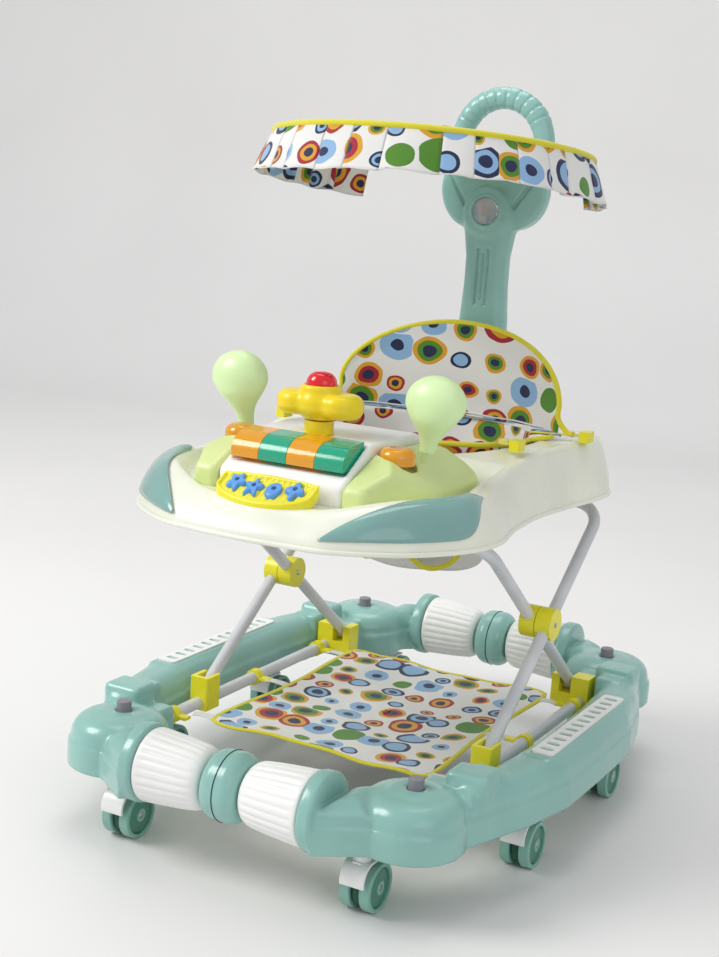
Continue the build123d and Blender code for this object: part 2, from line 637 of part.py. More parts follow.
for side, side_name in ((-1, "left"), (1, "right")):
    with BuildPart() as dome_button:
        with BuildSketch(Plane.XY.offset(479)):
            with Locations((side * DOME_X, DOME_Y)):
                Circle(DOME_R)
        extrude(amount=19)
        fillet(edges_at(dome_button, 498), 11.0)
    dome_button.part.label = f"dome_button_{side_name}"
    export_step(dome_button.part, f"parts/dome_button_{side_name}.step")

    # egg-shaped toy mirror on a stem that turns in the panel
    bulb = Pos(side * 133, -190, 547) * scale(Sphere(1), by=(37, 25, 31))
    with BuildPart() as toy_mirror:
        add(bulb)
        with BuildSketch(Plane.XY.offset(493)):
            with Locations((side * MIRROR_X, MIRROR_Y)):
                Circle(10)
        with BuildSketch(Plane.XY.offset(526)):
            with Locations((side * 130, -188)):
                Circle(17)
        loft()
        with BuildSketch(Plane.XY.offset(479)):
            with Locations((side * MIRROR_X, MIRROR_Y)):
                Circle(6)
        extrude(amount=15)
    toy_mirror.part.label = f"toy_mirror_{side_name}"
    export_step(toy_mirror.part, f"parts/toy_mirror_{side_name}.step")

# ==== steering wheel ================================================================================
with BuildPart() as steering_column:
    with BuildSketch(Plane.XY.offset(CONSOLE_Z - 21.9)):
        with Locations((0, WHEEL_Y)):
            Circle(15.2)
    extrude(amount=21.9)
    with BuildSketch(Plane.XY.offset(CONSOLE_Z + 0.1)):
        with Locations((0, WHEEL_Y)):
            Circle(17.5)
    extrude(amount=16)
    with BuildSketch(Plane.XY.offset(CONSOLE_Z)):
        with Locations((0, WHEEL_Y)):
            Circle(8)
    extrude(amount=34)
steering_column.part.label = "steering_column"
export_step(steering_column.part, "parts/steering_column.step")

with BuildPart() as steering_wheel:
    with BuildSketch(Plane.XY.offset(520)):
        with Locations((0, WHEEL_Y)):
            Circle(30)
        with Locations((-29, WHEEL_Y), (29, WHEEL_Y)):
            Circle(25)
    extrude(amount=30)
    fillet(edges_at(steering_wheel, 550) + edges_at(steering_wheel, 520), 8.0)
    with BuildSketch(Plane.XY.offset(545)):
        with Locations((0, WHEEL_Y)):
            Circle(24)
    extrude(amount=13)
    with BuildSketch(Plane.XY.offset(519)):
        with Locations((0, WHEEL_Y)):
            Circle(8 + FIT)
    extrude(amount=15.5, mode=Mode.SUBTRACT)
    with BuildSketch(Plane.XY.offset(542)):
        with Locations((0, WHEEL_Y)):
            Circle(18.6)
    extrude(amount=20, mode=Mode.SUBTRACT)
steering_wheel.part.label = "steering_wheel"
export_step(steering_wheel.part, "parts/steering_wheel.step")

with BuildPart() as horn_button:
    with BuildSketch(Plane.XY.offset(547)):
        with Locations((0, WHEEL_Y)):
            Circle(18)
    extrude(amount=26)
    fillet(edges_at(horn_button, 573), 14.0)
horn_button.part.label = "horn_button"
export_step(horn_button.part, "parts/horn_button.step")

# ==== seat ==========================================================================================
SEAT_TOP_Z, SEAT_BOTTOM_Z = 482.0, 285.0
BACK_A, BACK_BASE_Z = 164.0, 478.4
with BuildPart() as seat_back:
    # arch that stands on the tray behind the child, gently curved in plan
    with BuildSketch(Plane.XZ.offset(-80)):
        with BuildLine():
            Line((-BACK_A, BACK_BASE_Z), (-BACK_A, 515))
            EllipticalCenterArc((0, 515), BACK_A, 96, 0, arc_size=180)
            Line((BACK_A, 515), (BACK_A, BACK_BASE_Z))
            Line((BACK_A, BACK_BASE_Z), (-BACK_A, BACK_BASE_Z))
        make_face()
    extrude(amount=-100)
    with BuildSketch(Plane.XY.offset(470)):
        with Locations((0, OPEN_Y)):
            Ellipse(200, 110)
            Ellipse(193, 103, mode=Mode.SUBTRACT)
    extrude(amount=160, mode=Mode.INTERSECT)

with BuildPart() as seat:
    # sling: a tapering fabric tub
    with BuildSketch(Plane.XY.offset(SEAT_TOP_Z)):
        with Locations((0, OPEN_Y)):
            Ellipse(OPEN_A - 6, OPEN_B - 14)
    with BuildSketch(Plane.XY.offset(SEAT_BOTTOM_Z)):
        with Locations((0, OPEN_Y + 6)):
            Ellipse(92, 74)
    loft()
    with BuildSketch(Plane.XY.offset(SEAT_TOP_Z + 1)):
        with Locations((0, OPEN_Y)):
            Ellipse(OPEN_A - 11, OPEN_B - 19)
    with BuildSketch(Plane.XY.offset(SEAT_BOTTOM_Z + 7)):
        with Locations((0, OPEN_Y + 6)):
            Ellipse(86, 68)
    loft(mode=Mode.SUBTRACT)
    # leg holes through the front of the tub
    for side in (-1, 1):
        with BuildSketch(Plane.XZ.offset(100)):
            with Locations((side * 50, 345)):
                Ellipse(36, 48)
        extrude(amount=-170, mode=Mode.SUBTRACT)
    add(seat_back.part)
    # lip from the tub to the back
    with BuildSketch(Plane.XY.offset(BACK_BASE_Z)):
        with Locations((0, OPEN_Y)):
            Ellipse(200, 110)
            Ellipse(OPEN_A - 11, OPEN_B - 20, mode=Mode.SUBTRACT)
        with Locations((0, -70)):
            Rectangle(500, 310, mode=Mode.SUBTRACT)
    extrude(amount=3.5)
seat.part.label = "seat"
export_step(seat.part, "parts/seat.step")

# ---- yellow clips that hold the seat to the tray ---------------------------------------------------
with BuildPart() as seat_clips:
    for side in (-1, 1):
        for clip_x, clip_y in ((168, -22), (206, 118)):
            with BuildSketch(Plane.XY.offset(WING_Z + 0.1)):
                with Locations((side * clip_x, clip_y)):
                    RectangleRounded(14, 22, 2)
            extrude(amount=14)
seat_clips.part.label = "seat_clips"
export_step(seat_clips.part, "parts/seat_clips.step")

# ==== push handle ===================================================================================
SPLIT = Plane(origin=(0, POLE_Y, 430), z_dir=(0, -cos(radians(2.4)), sin(radians(2.4))))
with BuildPart() as handle:
    # pole: straight foot, then rounded rectangle sections, waisted in the middle
    with BuildSketch(Plane.XY.offset(446)):
        with Locations((0, POLE_Y)):
            RectangleRounded(71.6, 43.6, 17.6)
    extrude(amount=36)
    for z, width, depth, corner in ((481, 71, 43.4, 17.6), (603, 67, 42, 18), (690, 61, 41, 18), (742, 76, 42, 18)):
        with BuildSketch(Plane.XY.offset(z)):
            with Locations((0, POLE_Y)):
                RectangleRounded(width, depth, corner)
    loft()
    # round head with the lens seat
    with BuildSketch(Plane.XZ.offset(-POLE_Y + 23)):
        with Locations((0, HEAD_Z)):
            Circle(35)
    extrude(amount=-46)
    with BuildSketch(Plane.XZ.offset(-POLE_Y + 24)):
        with Locations((0, HEAD_Z)):
            Circle(18.2)
    extrude(amount=-5, mode=Mode.SUBTRACT)
    # horn-shaped ears that carry the loop
    with BuildSketch(Plane.XZ.offset(-POLE_Y - 2 + 15)):
        with BuildLine():
            Line((-22, 738), (22, 738))
            ThreePointArc((22, 738), (62, 745), (79, 790))
            ThreePointArc((79, 790), (78, 822), (70, 842))
            ThreePointArc((70, 842), (0, 800), (-70, 842))
            ThreePointArc((-70, 842), (-78, 822), (-79, 790))
            ThreePointArc((-79, 790), (-62, 745), (-22, 738))
        make_face()
    extrude(amount=-32)
    # loop grip
    with BuildSketch(Plane(origin=(0, LOOP_Y, LOOP_Z + LOOP_R), z_dir=(1, 0, 0))):
        Circle(LOOP_TUBE)
    revolve(axis=Axis((0, LOOP_Y, LOOP_Z), (0, 1, 0)))
    # canopy hinge boss
    with BuildSketch(Plane.YZ.offset(-13)):
        with BuildLine():
            Line((HINGE_Y - 7, 785), (HINGE_Y - 7, HINGE_Z))
            ThreePointArc((HINGE_Y - 7, HINGE_Z), (HINGE_Y, HINGE_Z + 7), (HINGE_Y + 7, HINGE_Z))
            Line((HINGE_Y + 7, HINGE_Z), (HINGE_Y + 7, 785))
            Line((HINGE_Y + 7, 785), (HINGE_Y - 7, 785))
        make_face()
    extrude(amount=26)
    with BuildSketch(Plane.YZ.offset(-30)):
        with Locations((HINGE_Y, HINGE_Z)):
            Circle(PIVOT_PIN_R + FIT)
    extrude(amount=60, mode=Mode.SUBTRACT)

with BuildPart() as handle_shells:
    add(handle.part)
    split(bisect_by=SPLIT, keep=Keep.BOTH)
handle_shells.part.label = "handle_shells"
export_step(handle_shells.part, "parts/handle_shells.step")

with BuildPart() as handle_lens:
    with BuildSketch(Plane.XZ.offset(-POLE_Y + 19.2)):
        with Locations((0, HEAD_Z)):
            Circle(18)
    extrude(amount=8)
    fillet(handle_lens.edges().sort_by(Axis.Y)[0], 4.0)
handle_lens.part.label = "handle_lens"
export_step(handle_lens.part, "parts/handle_lens.step")

# ==== canopy ========================================================================================
CANOPY_PLANE = Plane(origin=(0, CANOPY_Y, CANOPY_Z), x_dir=(1, 0, 0),
                     z_dir=(0, sin(radians(CANOPY_TILT)), cos(radians(CANOPY_TILT))))
BAND_R = 4.0
with BuildPart() as canopy_hoop:
    with BuildSketch(CANOPY_PLANE.offset(-BAND_R)):
        Ellipse(CANOPY_A + 5, CANOPY_B + 5)
        Ellipse(CANOPY_A, CANOPY_B, mode=Mode.SUBTRACT)
    extrude(amount=2 * BAND_R)
    for side in (-1, 1):
        # bracket ears beside the hinge boss
        with BuildSketch(Plane.YZ.offset(side * 14)):
            with BuildLine():
                Polyline((209, HINGE_Z + 3), (209, HINGE_Z - 3), (HINGE_Y, HINGE_Z - 7), (HINGE_Y + 6, HINGE_Z - 3),
                         (HINGE_Y + 6, HINGE_Z + 3), (HINGE_Y, HINGE_Z + 6), close=True)
            make_face()
        extrude(amount=side * 5)
    with BuildSketch(Plane.YZ.offset(-18)):
        with Locations((HINGE_Y, HINGE_Z)):
            Circle(PIVOT_PIN_R)
    extrude(amount=36)
canopy_hoop.part.label = "canopy_hoop"
export_step(canopy_hoop.part, "parts/canopy_hoop.step")

with BuildPart() as canopy_fabric:
    # sheet stretched over the hoop
    with BuildSketch(CANOPY_PLANE.offset(BAND_R + 0.3)):
        Ellipse(CANOPY_A + 7, CANOPY_B + 6)
    extrude(amount=2.5)
    # flared frill that hangs from its edge, open behind
    with BuildSketch(CANOPY_PLANE.offset(BAND_R + 1)):
        Ellipse(CANOPY_A + 8, CANOPY_B + 7)
    with BuildSketch(CANOPY_PLANE.offset(BAND_R - VALANCE)):
        Ellipse(CANOPY_A + 20, CANOPY_B + 19)
    loft()
    with BuildSketch(CANOPY_PLANE.offset(BAND_R + 0.3)):
        Ellipse(CANOPY_A + 5.5, CANOPY_B + 5.5)
    with BuildSketch(CANOPY_PLANE.offset(BAND_R - VALANCE - 1)):
        Ellipse(CANOPY_A + 16, CANOPY_B + 15)
    loft(mode=Mode.SUBTRACT)
    with BuildSketch(CANOPY_PLANE.offset(BAND_R + 0.2)):
        with Locations((0, 245)):
            Rectangle(290, 240)
    extrude(amount=-90, mode=Mode.SUBTRACT)
canopy_fabric.part.label = "canopy_fabric"
export_step(canopy_fabric.part, "parts/canopy_fabric.step")
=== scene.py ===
"""Baby walker: looks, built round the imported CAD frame.  Shape code in millimetres."""
from math import asin, cos, hypot, pi, radians, sin, sqrt

import bpy
import numpy as np
from mathutils import Matrix, Vector


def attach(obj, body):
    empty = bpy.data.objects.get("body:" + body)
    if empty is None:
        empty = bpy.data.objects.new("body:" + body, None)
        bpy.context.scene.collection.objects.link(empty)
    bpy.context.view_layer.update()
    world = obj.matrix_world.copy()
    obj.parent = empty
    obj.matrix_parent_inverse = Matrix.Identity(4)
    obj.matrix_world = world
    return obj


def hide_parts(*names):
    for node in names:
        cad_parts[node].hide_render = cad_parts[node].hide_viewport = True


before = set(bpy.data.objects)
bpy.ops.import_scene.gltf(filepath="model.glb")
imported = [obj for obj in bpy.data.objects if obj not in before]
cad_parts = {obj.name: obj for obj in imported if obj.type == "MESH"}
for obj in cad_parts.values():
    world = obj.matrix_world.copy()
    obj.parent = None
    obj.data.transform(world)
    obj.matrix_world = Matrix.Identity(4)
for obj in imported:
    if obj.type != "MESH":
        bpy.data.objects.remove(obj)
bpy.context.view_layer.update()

MM = 0.001


# ==== camera, floor and light =======================================================================
def add_camera():
    """Camera low on the front right of the walker, turned by its azimuth, pitch and a small roll."""
    azimuth, pitch, roll = radians(27.97), radians(10.94), radians(3.796)
    forward = Vector((-sin(azimuth) * cos(pitch), cos(azimuth) * cos(pitch), -sin(pitch)))
    level = Vector((cos(azimuth), sin(azimuth), 0))
    over = level.cross(forward)
    right = cos(roll) * level + sin(roll) * over
    up = -sin(roll) * level + cos(roll) * over
    data = bpy.data.cameras.new("camera")
    data.sensor_width = 36
    data.lens = 58.24
    data.clip_end = 100
    camera = bpy.data.objects.new("camera", data)
    turn = Matrix((right, up, -forward)).transposed().to_4x4()
    camera.matrix_world = Matrix.Translation((0.882, -1.774, 0.7946)) @ turn
    bpy.context.scene.collection.objects.link(camera)
    bpy.context.scene.camera = camera


def add_light(name, place, aim, size, power, colour=(1, 1, 1)):
    data = bpy.data.lights.new(name, "AREA")
    data.shape = "DISK"
    data.size = size
    data.energy = power
    data.color = colour
    lamp = bpy.data.objects.new(name, data)
    lamp.location = place
    lamp.rotation_euler = (Vector(aim) - Vector(place)).to_track_quat("-Z", "Y").to_euler()
    bpy.context.scene.collection.objects.link(lamp)


add_camera()
add_light("key", (-2.6, -2.0, 2.9), (0, 0, 0.4), 2.0, 92, (1.0, 0.99, 0.97))
add_light("fill", (2.8, -2.2, 1.6), (0, 0, 0.4), 2.4, 14, (0.97, 0.98, 1.0))
add_light("top", (-0.4, 0.8, 3.4), (0, 0, 0.3), 2.2, 30)


# ==== node helpers ==================================================================================
class Nodes:
    """Short calls for a material's node tree."""

    def __init__(self, name):
        self.material = bpy.data.materials.new(name)
        self.material.use_nodes = True
        self.tree = self.material.node_tree
        self.shader = self.tree.nodes["Principled BSDF"]

    def put(self, socket, value):
        if isinstance(value, bpy.types.NodeSocket):
            self.tree.links.new(value, socket)
        else:
            socket.default_value = value

    def look(self, **values):
        """Sets inputs of the shader; an underscore stands for a space in the input's name."""
        for key, value in values.items():
            self.put(self.shader.inputs[key.replace("_", " ")], value)

    def node(self, kind, settings=None, **inputs):
        made = self.tree.nodes.new(kind)
        for key, value in (settings or {}).items():
            setattr(made, key, value)
        for key, value in inputs.items():
            numbered = key[0] == "i" and key[1:].isdigit()
            self.put(made.inputs[int(key[1:]) if numbered else key], value)
        return made

    def math(self, operation, a, b=0.0, c=0.0):
        return self.node("ShaderNodeMath", {"operation": operation}, i0=a, i1=b, i2=c).outputs[0]

    def mix(self, factor, a, b):
        return self.node("ShaderNodeMix", {"data_type": "RGBA"}, i0=factor, i6=a, i7=b).outputs[2]

    def noise(self, scale, detail=3.0, where=None, roughness=0.5):
        made = self.node("ShaderNodeTexNoise", Scale=scale, Detail=detail, Roughness=roughness)
        made.inputs["Vector"].default_value = (0, 0, 0)
        self.put(made.inputs["Vector"], where or self.place())
        return made.outputs["Fac"]

    def place(self):
        """Position on the piece at rest, in metres."""
        return self.node("ShaderNodeTexCoord").outputs["Object"]

    def ramp(self, factor, stops, smooth=False):
        made = self.node("ShaderNodeValToRGB", Fac=factor)
        ramp = made.color_ramp
        ramp.interpolation = "EASE" if smooth else "CONSTANT"
        while len(ramp.elements) < len(stops):
            ramp.elements.new(0.5)
        for element, (at, colour) in zip(ramp.elements, stops):
            element.position = at
            element.color = colour
        return made.outputs["Color"]

    def tones(self, scale, detail, dark, light):
        """Slow drift between two close tones of a colour."""
        return self.ramp(self.noise(scale, detail), [(0.3, dark), (0.7, light)], smooth=True)

    def wave(self, direction, scale, where, distortion=0.6, detail=1.0):
        made = self.node("ShaderNodeTexWave", {"bands_direction": direction}, Scale=scale,
                         Distortion=distortion, Detail=detail, Vector=where)
        return made.outputs["Fac"]

    def bump(self, height, distance, strength=1.0):
        made = self.node("ShaderNodeBump", Height=height, Distance=distance, Strength=strength)
        return made.outputs["Normal"]


def rgb(text, alpha=1.0):
    """Linear colour of an sRGB hex code."""
    parts = [int(text[i:i + 2], 16) / 255 for i in (0, 2, 4)]
    linear = [p / 12.92 if p <= 0.04045 else ((p + 0.055) / 1.055) ** 2.4 for p in parts]
    return (*linear, alpha)


def shade(colour, factor):
    return tuple(min(1.0, c * factor) for c in colour[:3]) + (1.0,)


def plastic(name, code, rough=0.3, grain=0.00008, clear=0.0, painted_glow=0.0, coat=0.0):
    """Moulded plastic: slight flow marks in the colour, fine grain, scuffs in the gloss; the emission is
    a painted glow in the plastic's own colour.
    """
    n = Nodes(name)
    colour = rgb(code)
    gloss = n.node("ShaderNodeMapRange", i0=n.noise(13.0, 2.0), i1=0.25, i2=0.8, i3=rough * 0.9,
                   i4=rough * 1.12).outputs[0]
    n.look(Base_Color=n.tones(9.0, 4.0, shade(colour, 0.93), shade(colour, 1.04)), Roughness=gloss,
           Normal=n.bump(n.noise(420.0, 2.0), grain), Subsurface_Weight=0.0 if clear else 0.06,
           Subsurface_Radius=(0.004, 0.004, 0.004), Transmission_Weight=clear, Coat_Weight=coat,
           Coat_Roughness=0.08, Emission_Color=colour, Emission_Strength=painted_glow)
    return n.material


def coated_tube():
    """White powder coat on steel: orange-peel skin."""
    n = Nodes("white_tube")
    n.look(Base_Color=n.tones(14.0, 4.0, rgb("CDCED2"), rgb("DEDFE1")), Roughness=0.32,
           Normal=n.bump(n.noise(500.0, 2.0), 0.0001), Coat_Weight=0.3)
    return n.material


def steel():
    n = Nodes("bright_steel")
    n.look(Base_Color=n.tones(60.0, 4.0, rgb("9A9CA0"), rgb("D8D9DC")), Metallic=1.0, Roughness=0.28)
    return n.material


def glass():
    n = Nodes("clear_lens")
    n.look(Base_Color=n.tones(30.0, 2.0, rgb("E8EEF0"), rgb("FFFFFF")), Roughness=0.05,
           Transmission_Weight=0.9, IOR=1.45)
    return n.material


NAVY, GOLD, GREEN = rgb("12204A"), rgb("E0A21C"), rgb("4F8A1E")
SKY, CRIMSON, PLUM = rgb("8FB8DE"), rgb("A8142E"), rgb("6A1440")


def printed_cloth(name, spacing=0.040, ground="F1F0EC"):
    """White cotton printed with ringed dots.  Works on the flat pattern of the cloth (UV in metres)."""
    n = Nodes(name)
    flat = n.node("ShaderNodeUVMap").outputs["UV"]
    wobble = n.node("ShaderNodeTexNoise", Scale=34.0, Detail=1.0)
    n.put(wobble.inputs["Vector"], flat)
    shift = n.node("ShaderNodeVectorMath", {"operation": "MULTIPLY_ADD"}, i0=wobble.outputs["Color"],
                   i1=(0.008, 0.008, 0.0), i2=flat).outputs[0]
    cells = n.node("ShaderNodeTexVoronoi", {"voronoi_dimensions": "2D"}, Scale=1.0 / spacing,
                   Randomness=0.42)
    n.put(cells.inputs["Vector"], shift)
    distance = n.math("MULTIPLY", cells.outputs["Distance"], spacing)
    split = n.node("ShaderNodeSeparateColor", i0=cells.outputs["Color"])
    pick, size = split.outputs[0], split.outputs[1]
    reach = n.node("ShaderNodeMapRange", i0=size, i1=0.0, i2=1.0, i3=0.0095, i4=0.0235).outputs[0]
    # seven kinds of dot: the share of cells up to which each goes, and its three colours from outside in
    kinds = ((0.0, NAVY, SKY, SKY), (0.18, GOLD, GREEN, NAVY), (0.36, SKY, SKY, NAVY),
             (0.5, CRIMSON, GOLD, NAVY), (0.64, GREEN, GREEN, GREEN), (0.78, GOLD, CRIMSON, NAVY),
             (0.9, NAVY, SKY, NAVY))
    share = n.math("DIVIDE", distance, reach)
    weave = n.math("MAXIMUM", n.wave("X", 520.0, flat), n.wave("Y", 520.0, flat))
    ground_tone = n.mix(n.noise(18.0, 4.0), shade(rgb(ground), 0.93), shade(rgb(ground), 1.0))
    colour = ground_tone
    for ring, limit in ((1, 1.0), (2, 0.72), (3, 0.40)):
        dye = n.ramp(pick, [(kind[0], kind[ring]) for kind in kinds])
        colour = n.mix(n.math("LESS_THAN", share, limit), colour, dye)
    colour = n.mix(n.math("MULTIPLY", weave, 0.07), colour, (0.02, 0.02, 0.02, 1))
    n.look(Base_Color=colour, Roughness=0.85, Sheen_Weight=0.25, Normal=n.bump(weave, 0.0002, 0.6),
           Subsurface_Weight=0.05, Subsurface_Radius=(0.003, 0.003, 0.003))
    return n.material


def plain_cloth(name, code, scale=480.0, rough=0.8):
    """Woven tape, binding or lining."""
    n = Nodes(name)
    rib = n.wave("DIAGONAL", scale, n.place(), 1.0, 2.0)
    n.look(Base_Color=n.mix(rib, shade(rgb(code), 0.82), rgb(code)), Roughness=rough, Sheen_Weight=0.3,
           Normal=n.bump(rib, 0.0003, 0.7))
    return n.material


SAGE = plastic("sage_plastic", "8FBFB6", 0.24, coat=0.25)
DARK_GREEN = plastic("dark_green_plastic", "0F4F38", 0.4)
WHEEL_GREEN = plastic("wheel_plastic", "86B7A8", 0.3)
# darker copy of the wheel green: painted shade on the wheels' sunk outer faces
WHEEL_FACE_SHADE = plastic("wheel_face_painted_shade", "4E8A74", 0.32)
WHITE = plastic("white_plastic", "F2F2EF", 0.3)
IVORY = plastic("ivory_plastic", "EEF0DF", 0.22, coat=0.25)
INSERT = plastic("insert_plastic", "7FABA4", 0.16, coat=0.5)
YELLOW = plastic("yellow_plastic", "EFE52A", 0.28)
WHEEL_YELLOW = plastic("wheel_yellow_plastic", "F8DC1A", 0.28)
LIME = plastic("lime_plastic", "DBF5B8", 0.3)
PANEL_LIME = plastic("panel_lime_plastic", "D6E59B", 0.3)
# the clear buttons get a faint emission: a painted glow in their own colour, not a lamp
ORANGE = plastic("orange_clear", "F3A90C", 0.12, clear=0.25, painted_glow=0.05, coat=0.5)
TEAL = plastic("teal_clear", "0DB48C", 0.12, clear=0.3, painted_glow=0.06, coat=0.5)
RED = plastic("red_clear", "E8001C", 0.1, clear=0.25, painted_glow=0.1, coat=0.6)
GREY = plastic("grey_rubber", "8E8A92", 0.6, 0.0002)
BLUE = plastic("blue_plastic", "5A9CE0", 0.35)
NAVY_DOT = plastic("navy_plastic", "123A8C", 0.35)
TUBE = coated_tube()
STEEL = steel()
LENS = glass()
PRINT = printed_cloth("printed_fabric")
BINDING = plain_cloth("yellow_binding", "EDE22A")
LINING = plain_cloth("white_lining", "ECEBE6")
SEAM = plastic("dark_seam", "1D3A33", 0.7)


# ==== mesh helpers ==================================================================================
def add_piece(name, verts, faces, material, body, slot_name, uv=None, smooth=True, scale=MM):
    """A mesh piece in millimetres that rides on a body."""
    mesh = bpy.data.meshes.new(name)
    mesh.from_pydata((np.asarray(verts, float) * scale).tolist(), [],
                     [tuple(int(i) for i in f) for f in faces])
    mesh.materials.append(material)
    if uv is not None:
        layer = mesh.uv_layers.new(name="UVMap")
        index = np.empty(len(mesh.loops), int)
        mesh.loops.foreach_get("vertex_index", index)
        layer.data.foreach_set("uv", (np.asarray(uv, float)[index] * scale).ravel())
    mesh.validate()
    mesh.polygons.foreach_set("use_smooth", [smooth] * len(mesh.polygons))
    piece = bpy.data.objects.new(name, mesh)
    bpy.context.scene.collection.objects.link(piece)
    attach(piece, body)
    return piece


def grid_faces(rows, columns, wrap=False):
    """Quads over a grid of rows x columns; wrap joins the last column to the first."""
    faces = []
    for i in range(rows - 1):
        for j in range(columns if wrap else columns - 1):
            k = (j + 1) % columns
            faces.append((i * columns + j, i * columns + k, (i + 1) * columns + k,
                          (i + 1) * columns + j))
    return faces


def modify(piece, kind, **settings):
    """Adds a modifier and applies it to the mesh."""
    modifier = piece.modifiers.new(kind.lower(), kind)
    for key, value in settings.items():
        setattr(modifier, key, value)
    bpy.context.view_layer.update()
    evaluated = piece.evaluated_get(bpy.context.evaluated_depsgraph_get())
    mesh = bpy.data.meshes.new_from_object(evaluated, preserve_all_data_layers=True,
                                           depsgraph=bpy.context.evaluated_depsgraph_get())
    piece.modifiers.clear()
    piece.data = mesh
    return piece


def mirrored(verts, faces, side):
    """A shape modelled at +x: as it is for side 1, flipped across the middle plane for side -1."""
    return verts * np.array([side, 1, 1]), faces if side > 0 else faces[:, ::-1]


def frames_along(points, closed):
    """Tangent, side and up vectors along a path, without twist."""
    points = np.asarray(points, float)
    ahead = np.roll(points, -1, 0) - np.roll(points, 1, 0)
    if not closed:
        ahead[0] = points[1] - points[0]
        ahead[-1] = points[-1] - points[-2]
    ahead /= np.linalg.norm(ahead, axis=1)[:, None]
    side = np.cross(ahead[0], (0, 0, 1.0))
    if np.linalg.norm(side) < 0.1:
        side = np.cross(ahead[0], (1.0, 0, 0))
    sides = []
    for t in ahead:
        side = side - t * np.dot(side, t)
        side = side / np.linalg.norm(side)
        sides.append(side)
    sides = np.array(sides)
    return ahead, sides, np.cross(sides, ahead)


def add_tube(name, points, radius, material, body, slot_name, closed=False, around=12, flat=1.0):
    """Round (or flattened) tube along a path, in millimetres; radius may vary along it."""
    points = np.asarray(points, float)
    _, side, up = frames_along(points, closed)
    radii = np.broadcast_to(np.asarray(radius, float), (len(points),))
    turn = np.linspace(0, 2 * pi, around, endpoint=False)
    rings = (points[:, None] + radii[:, None, None] * (np.cos(turn)[None, :, None] * side[:, None]
             + flat * np.sin(turn)[None, :, None] * up[:, None]))
    verts = rings.reshape(-1, 3)
    count = len(points)
    faces = grid_faces(count, around, wrap=True)
    if closed:
        # the last ring meets the first one, turned to the nearest vertex
        last, first = rings[-1], rings[0]
        offset = int(np.argmin([np.abs(np.roll(first, -k, 0) - last).sum() for k in range(around)]))
        for j in range(around):
            k = (j + 1) % around
            faces.append(((count - 1) * around + j, (count - 1) * around + k, (k + offset) % around,
                          (j + offset) % around))
    else:
        faces.append(tuple(range(around))[::-1])
        faces.append(tuple((count - 1) * around + j for j in range(around)))
    return add_piece(name, verts, faces, material, body, slot_name)


def smooth_path(points, per=8, closed=False):
    """Catmull-Rom curve through a few points."""
    p = np.asarray(points, float)
    count = len(p)
    out = []
    for i in range(count if closed else count - 1):
        if closed:
            a, b, c, d = p[i - 1], p[i], p[(i + 1) % count], p[(i + 2) % count]
        else:
            b, c = p[i], p[i + 1]
            a = p[i - 1] if i else 2 * b - c
            d = p[i + 2] if i + 2 < count else 2 * c - b
        for t in np.arange(per) / per:
            out.append(0.5 * (2 * b + (c - a) * t + (2 * a - 5 * b + 4 * c - d) * t * t
                              + (3 * b - a - 3 * c + d) * t ** 3))
    if not closed:
        out.append(p[-1])
    return np.array(out)


def surface_net(field, low, high, step):
    """Quad mesh of the zero surface of field(x, y, z), which is negative inside the solid."""
    axes = [np.arange(low[i] - step, high[i] + 1.5 * step, step) for i in range(3)]
    x, y, z = axes[0][:, None, None], axes[1][None, :, None], axes[2][None, None, :]
    shape = tuple(len(a) for a in axes)
    value = np.broadcast_to(field(x, y, z), shape).astype(np.float32)
    inside = value < 0
    cells = tuple(s - 1 for s in shape)
    total = np.zeros(cells + (3,), np.float32)
    count = np.zeros(cells, np.int32)
    crossings = []
    for axis in range(3):
        near = [slice(None)] * 3
        far = [slice(None)] * 3
        near[axis], far[axis] = slice(0, -1), slice(1, None)
        cut = inside[tuple(near)] != inside[tuple(far)]
        index = np.argwhere(cut)
        a = value[tuple(near)][cut]
        b = value[tuple(far)][cut]
        share = a / (a - b)
        point = index.astype(np.float32)
        point[:, axis] += share
        others = [k for k in range(3) if k != axis]
        for da in (0, 1):
            for db in (0, 1):
                cell = index.copy()
                cell[:, others[0]] -= da
                cell[:, others[1]] -= db
                ok = (cell >= 0).all(1) & (cell < np.array(cells)).all(1)
                where = tuple(cell[ok].T)
                np.add.at(total, where, point[ok])
                np.add.at(count, where, 1)
        crossings.append((axis, others, index, inside[tuple(near)][cut]))
    used = count > 0
    number = np.full(cells, -1, np.int64)
    number[used] = np.arange(used.sum())
    verts = total[used] / count[used][:, None] * step + np.array([a[0] for a in axes])
    faces = []
    for axis, others, index, filled in crossings:
        ring = []
        for da, db in ((1, 1), (0, 1), (0, 0), (1, 0)):
            cell = index.copy()
            cell[:, others[0]] -= da
            cell[:, others[1]] -= db
            ok = (cell >= 0).all(1) & (cell < np.array(cells)).all(1)
            cell[~ok] = 0
            ids = number[tuple(cell.T)]
            ids[~ok] = -1
            ring.append(ids)
        quad = np.stack(ring, 1)
        flip = filled if axis != 1 else ~filled
        quad[~flip] = quad[~flip][:, ::-1]
        faces.append(quad[(quad >= 0).all(1)])
    return verts, np.concatenate(faces)


def add_field(name, field, low, high, step, material, body, slot_name, relax=2):
    """Moulded piece from a field, slightly relaxed."""
    verts, faces = surface_net(field, low, high, step)
    piece = add_piece(name, verts, faces, material, body, slot_name)
    if relax:
        modify(piece, "SMOOTH", iterations=relax, factor=0.5)
    return piece


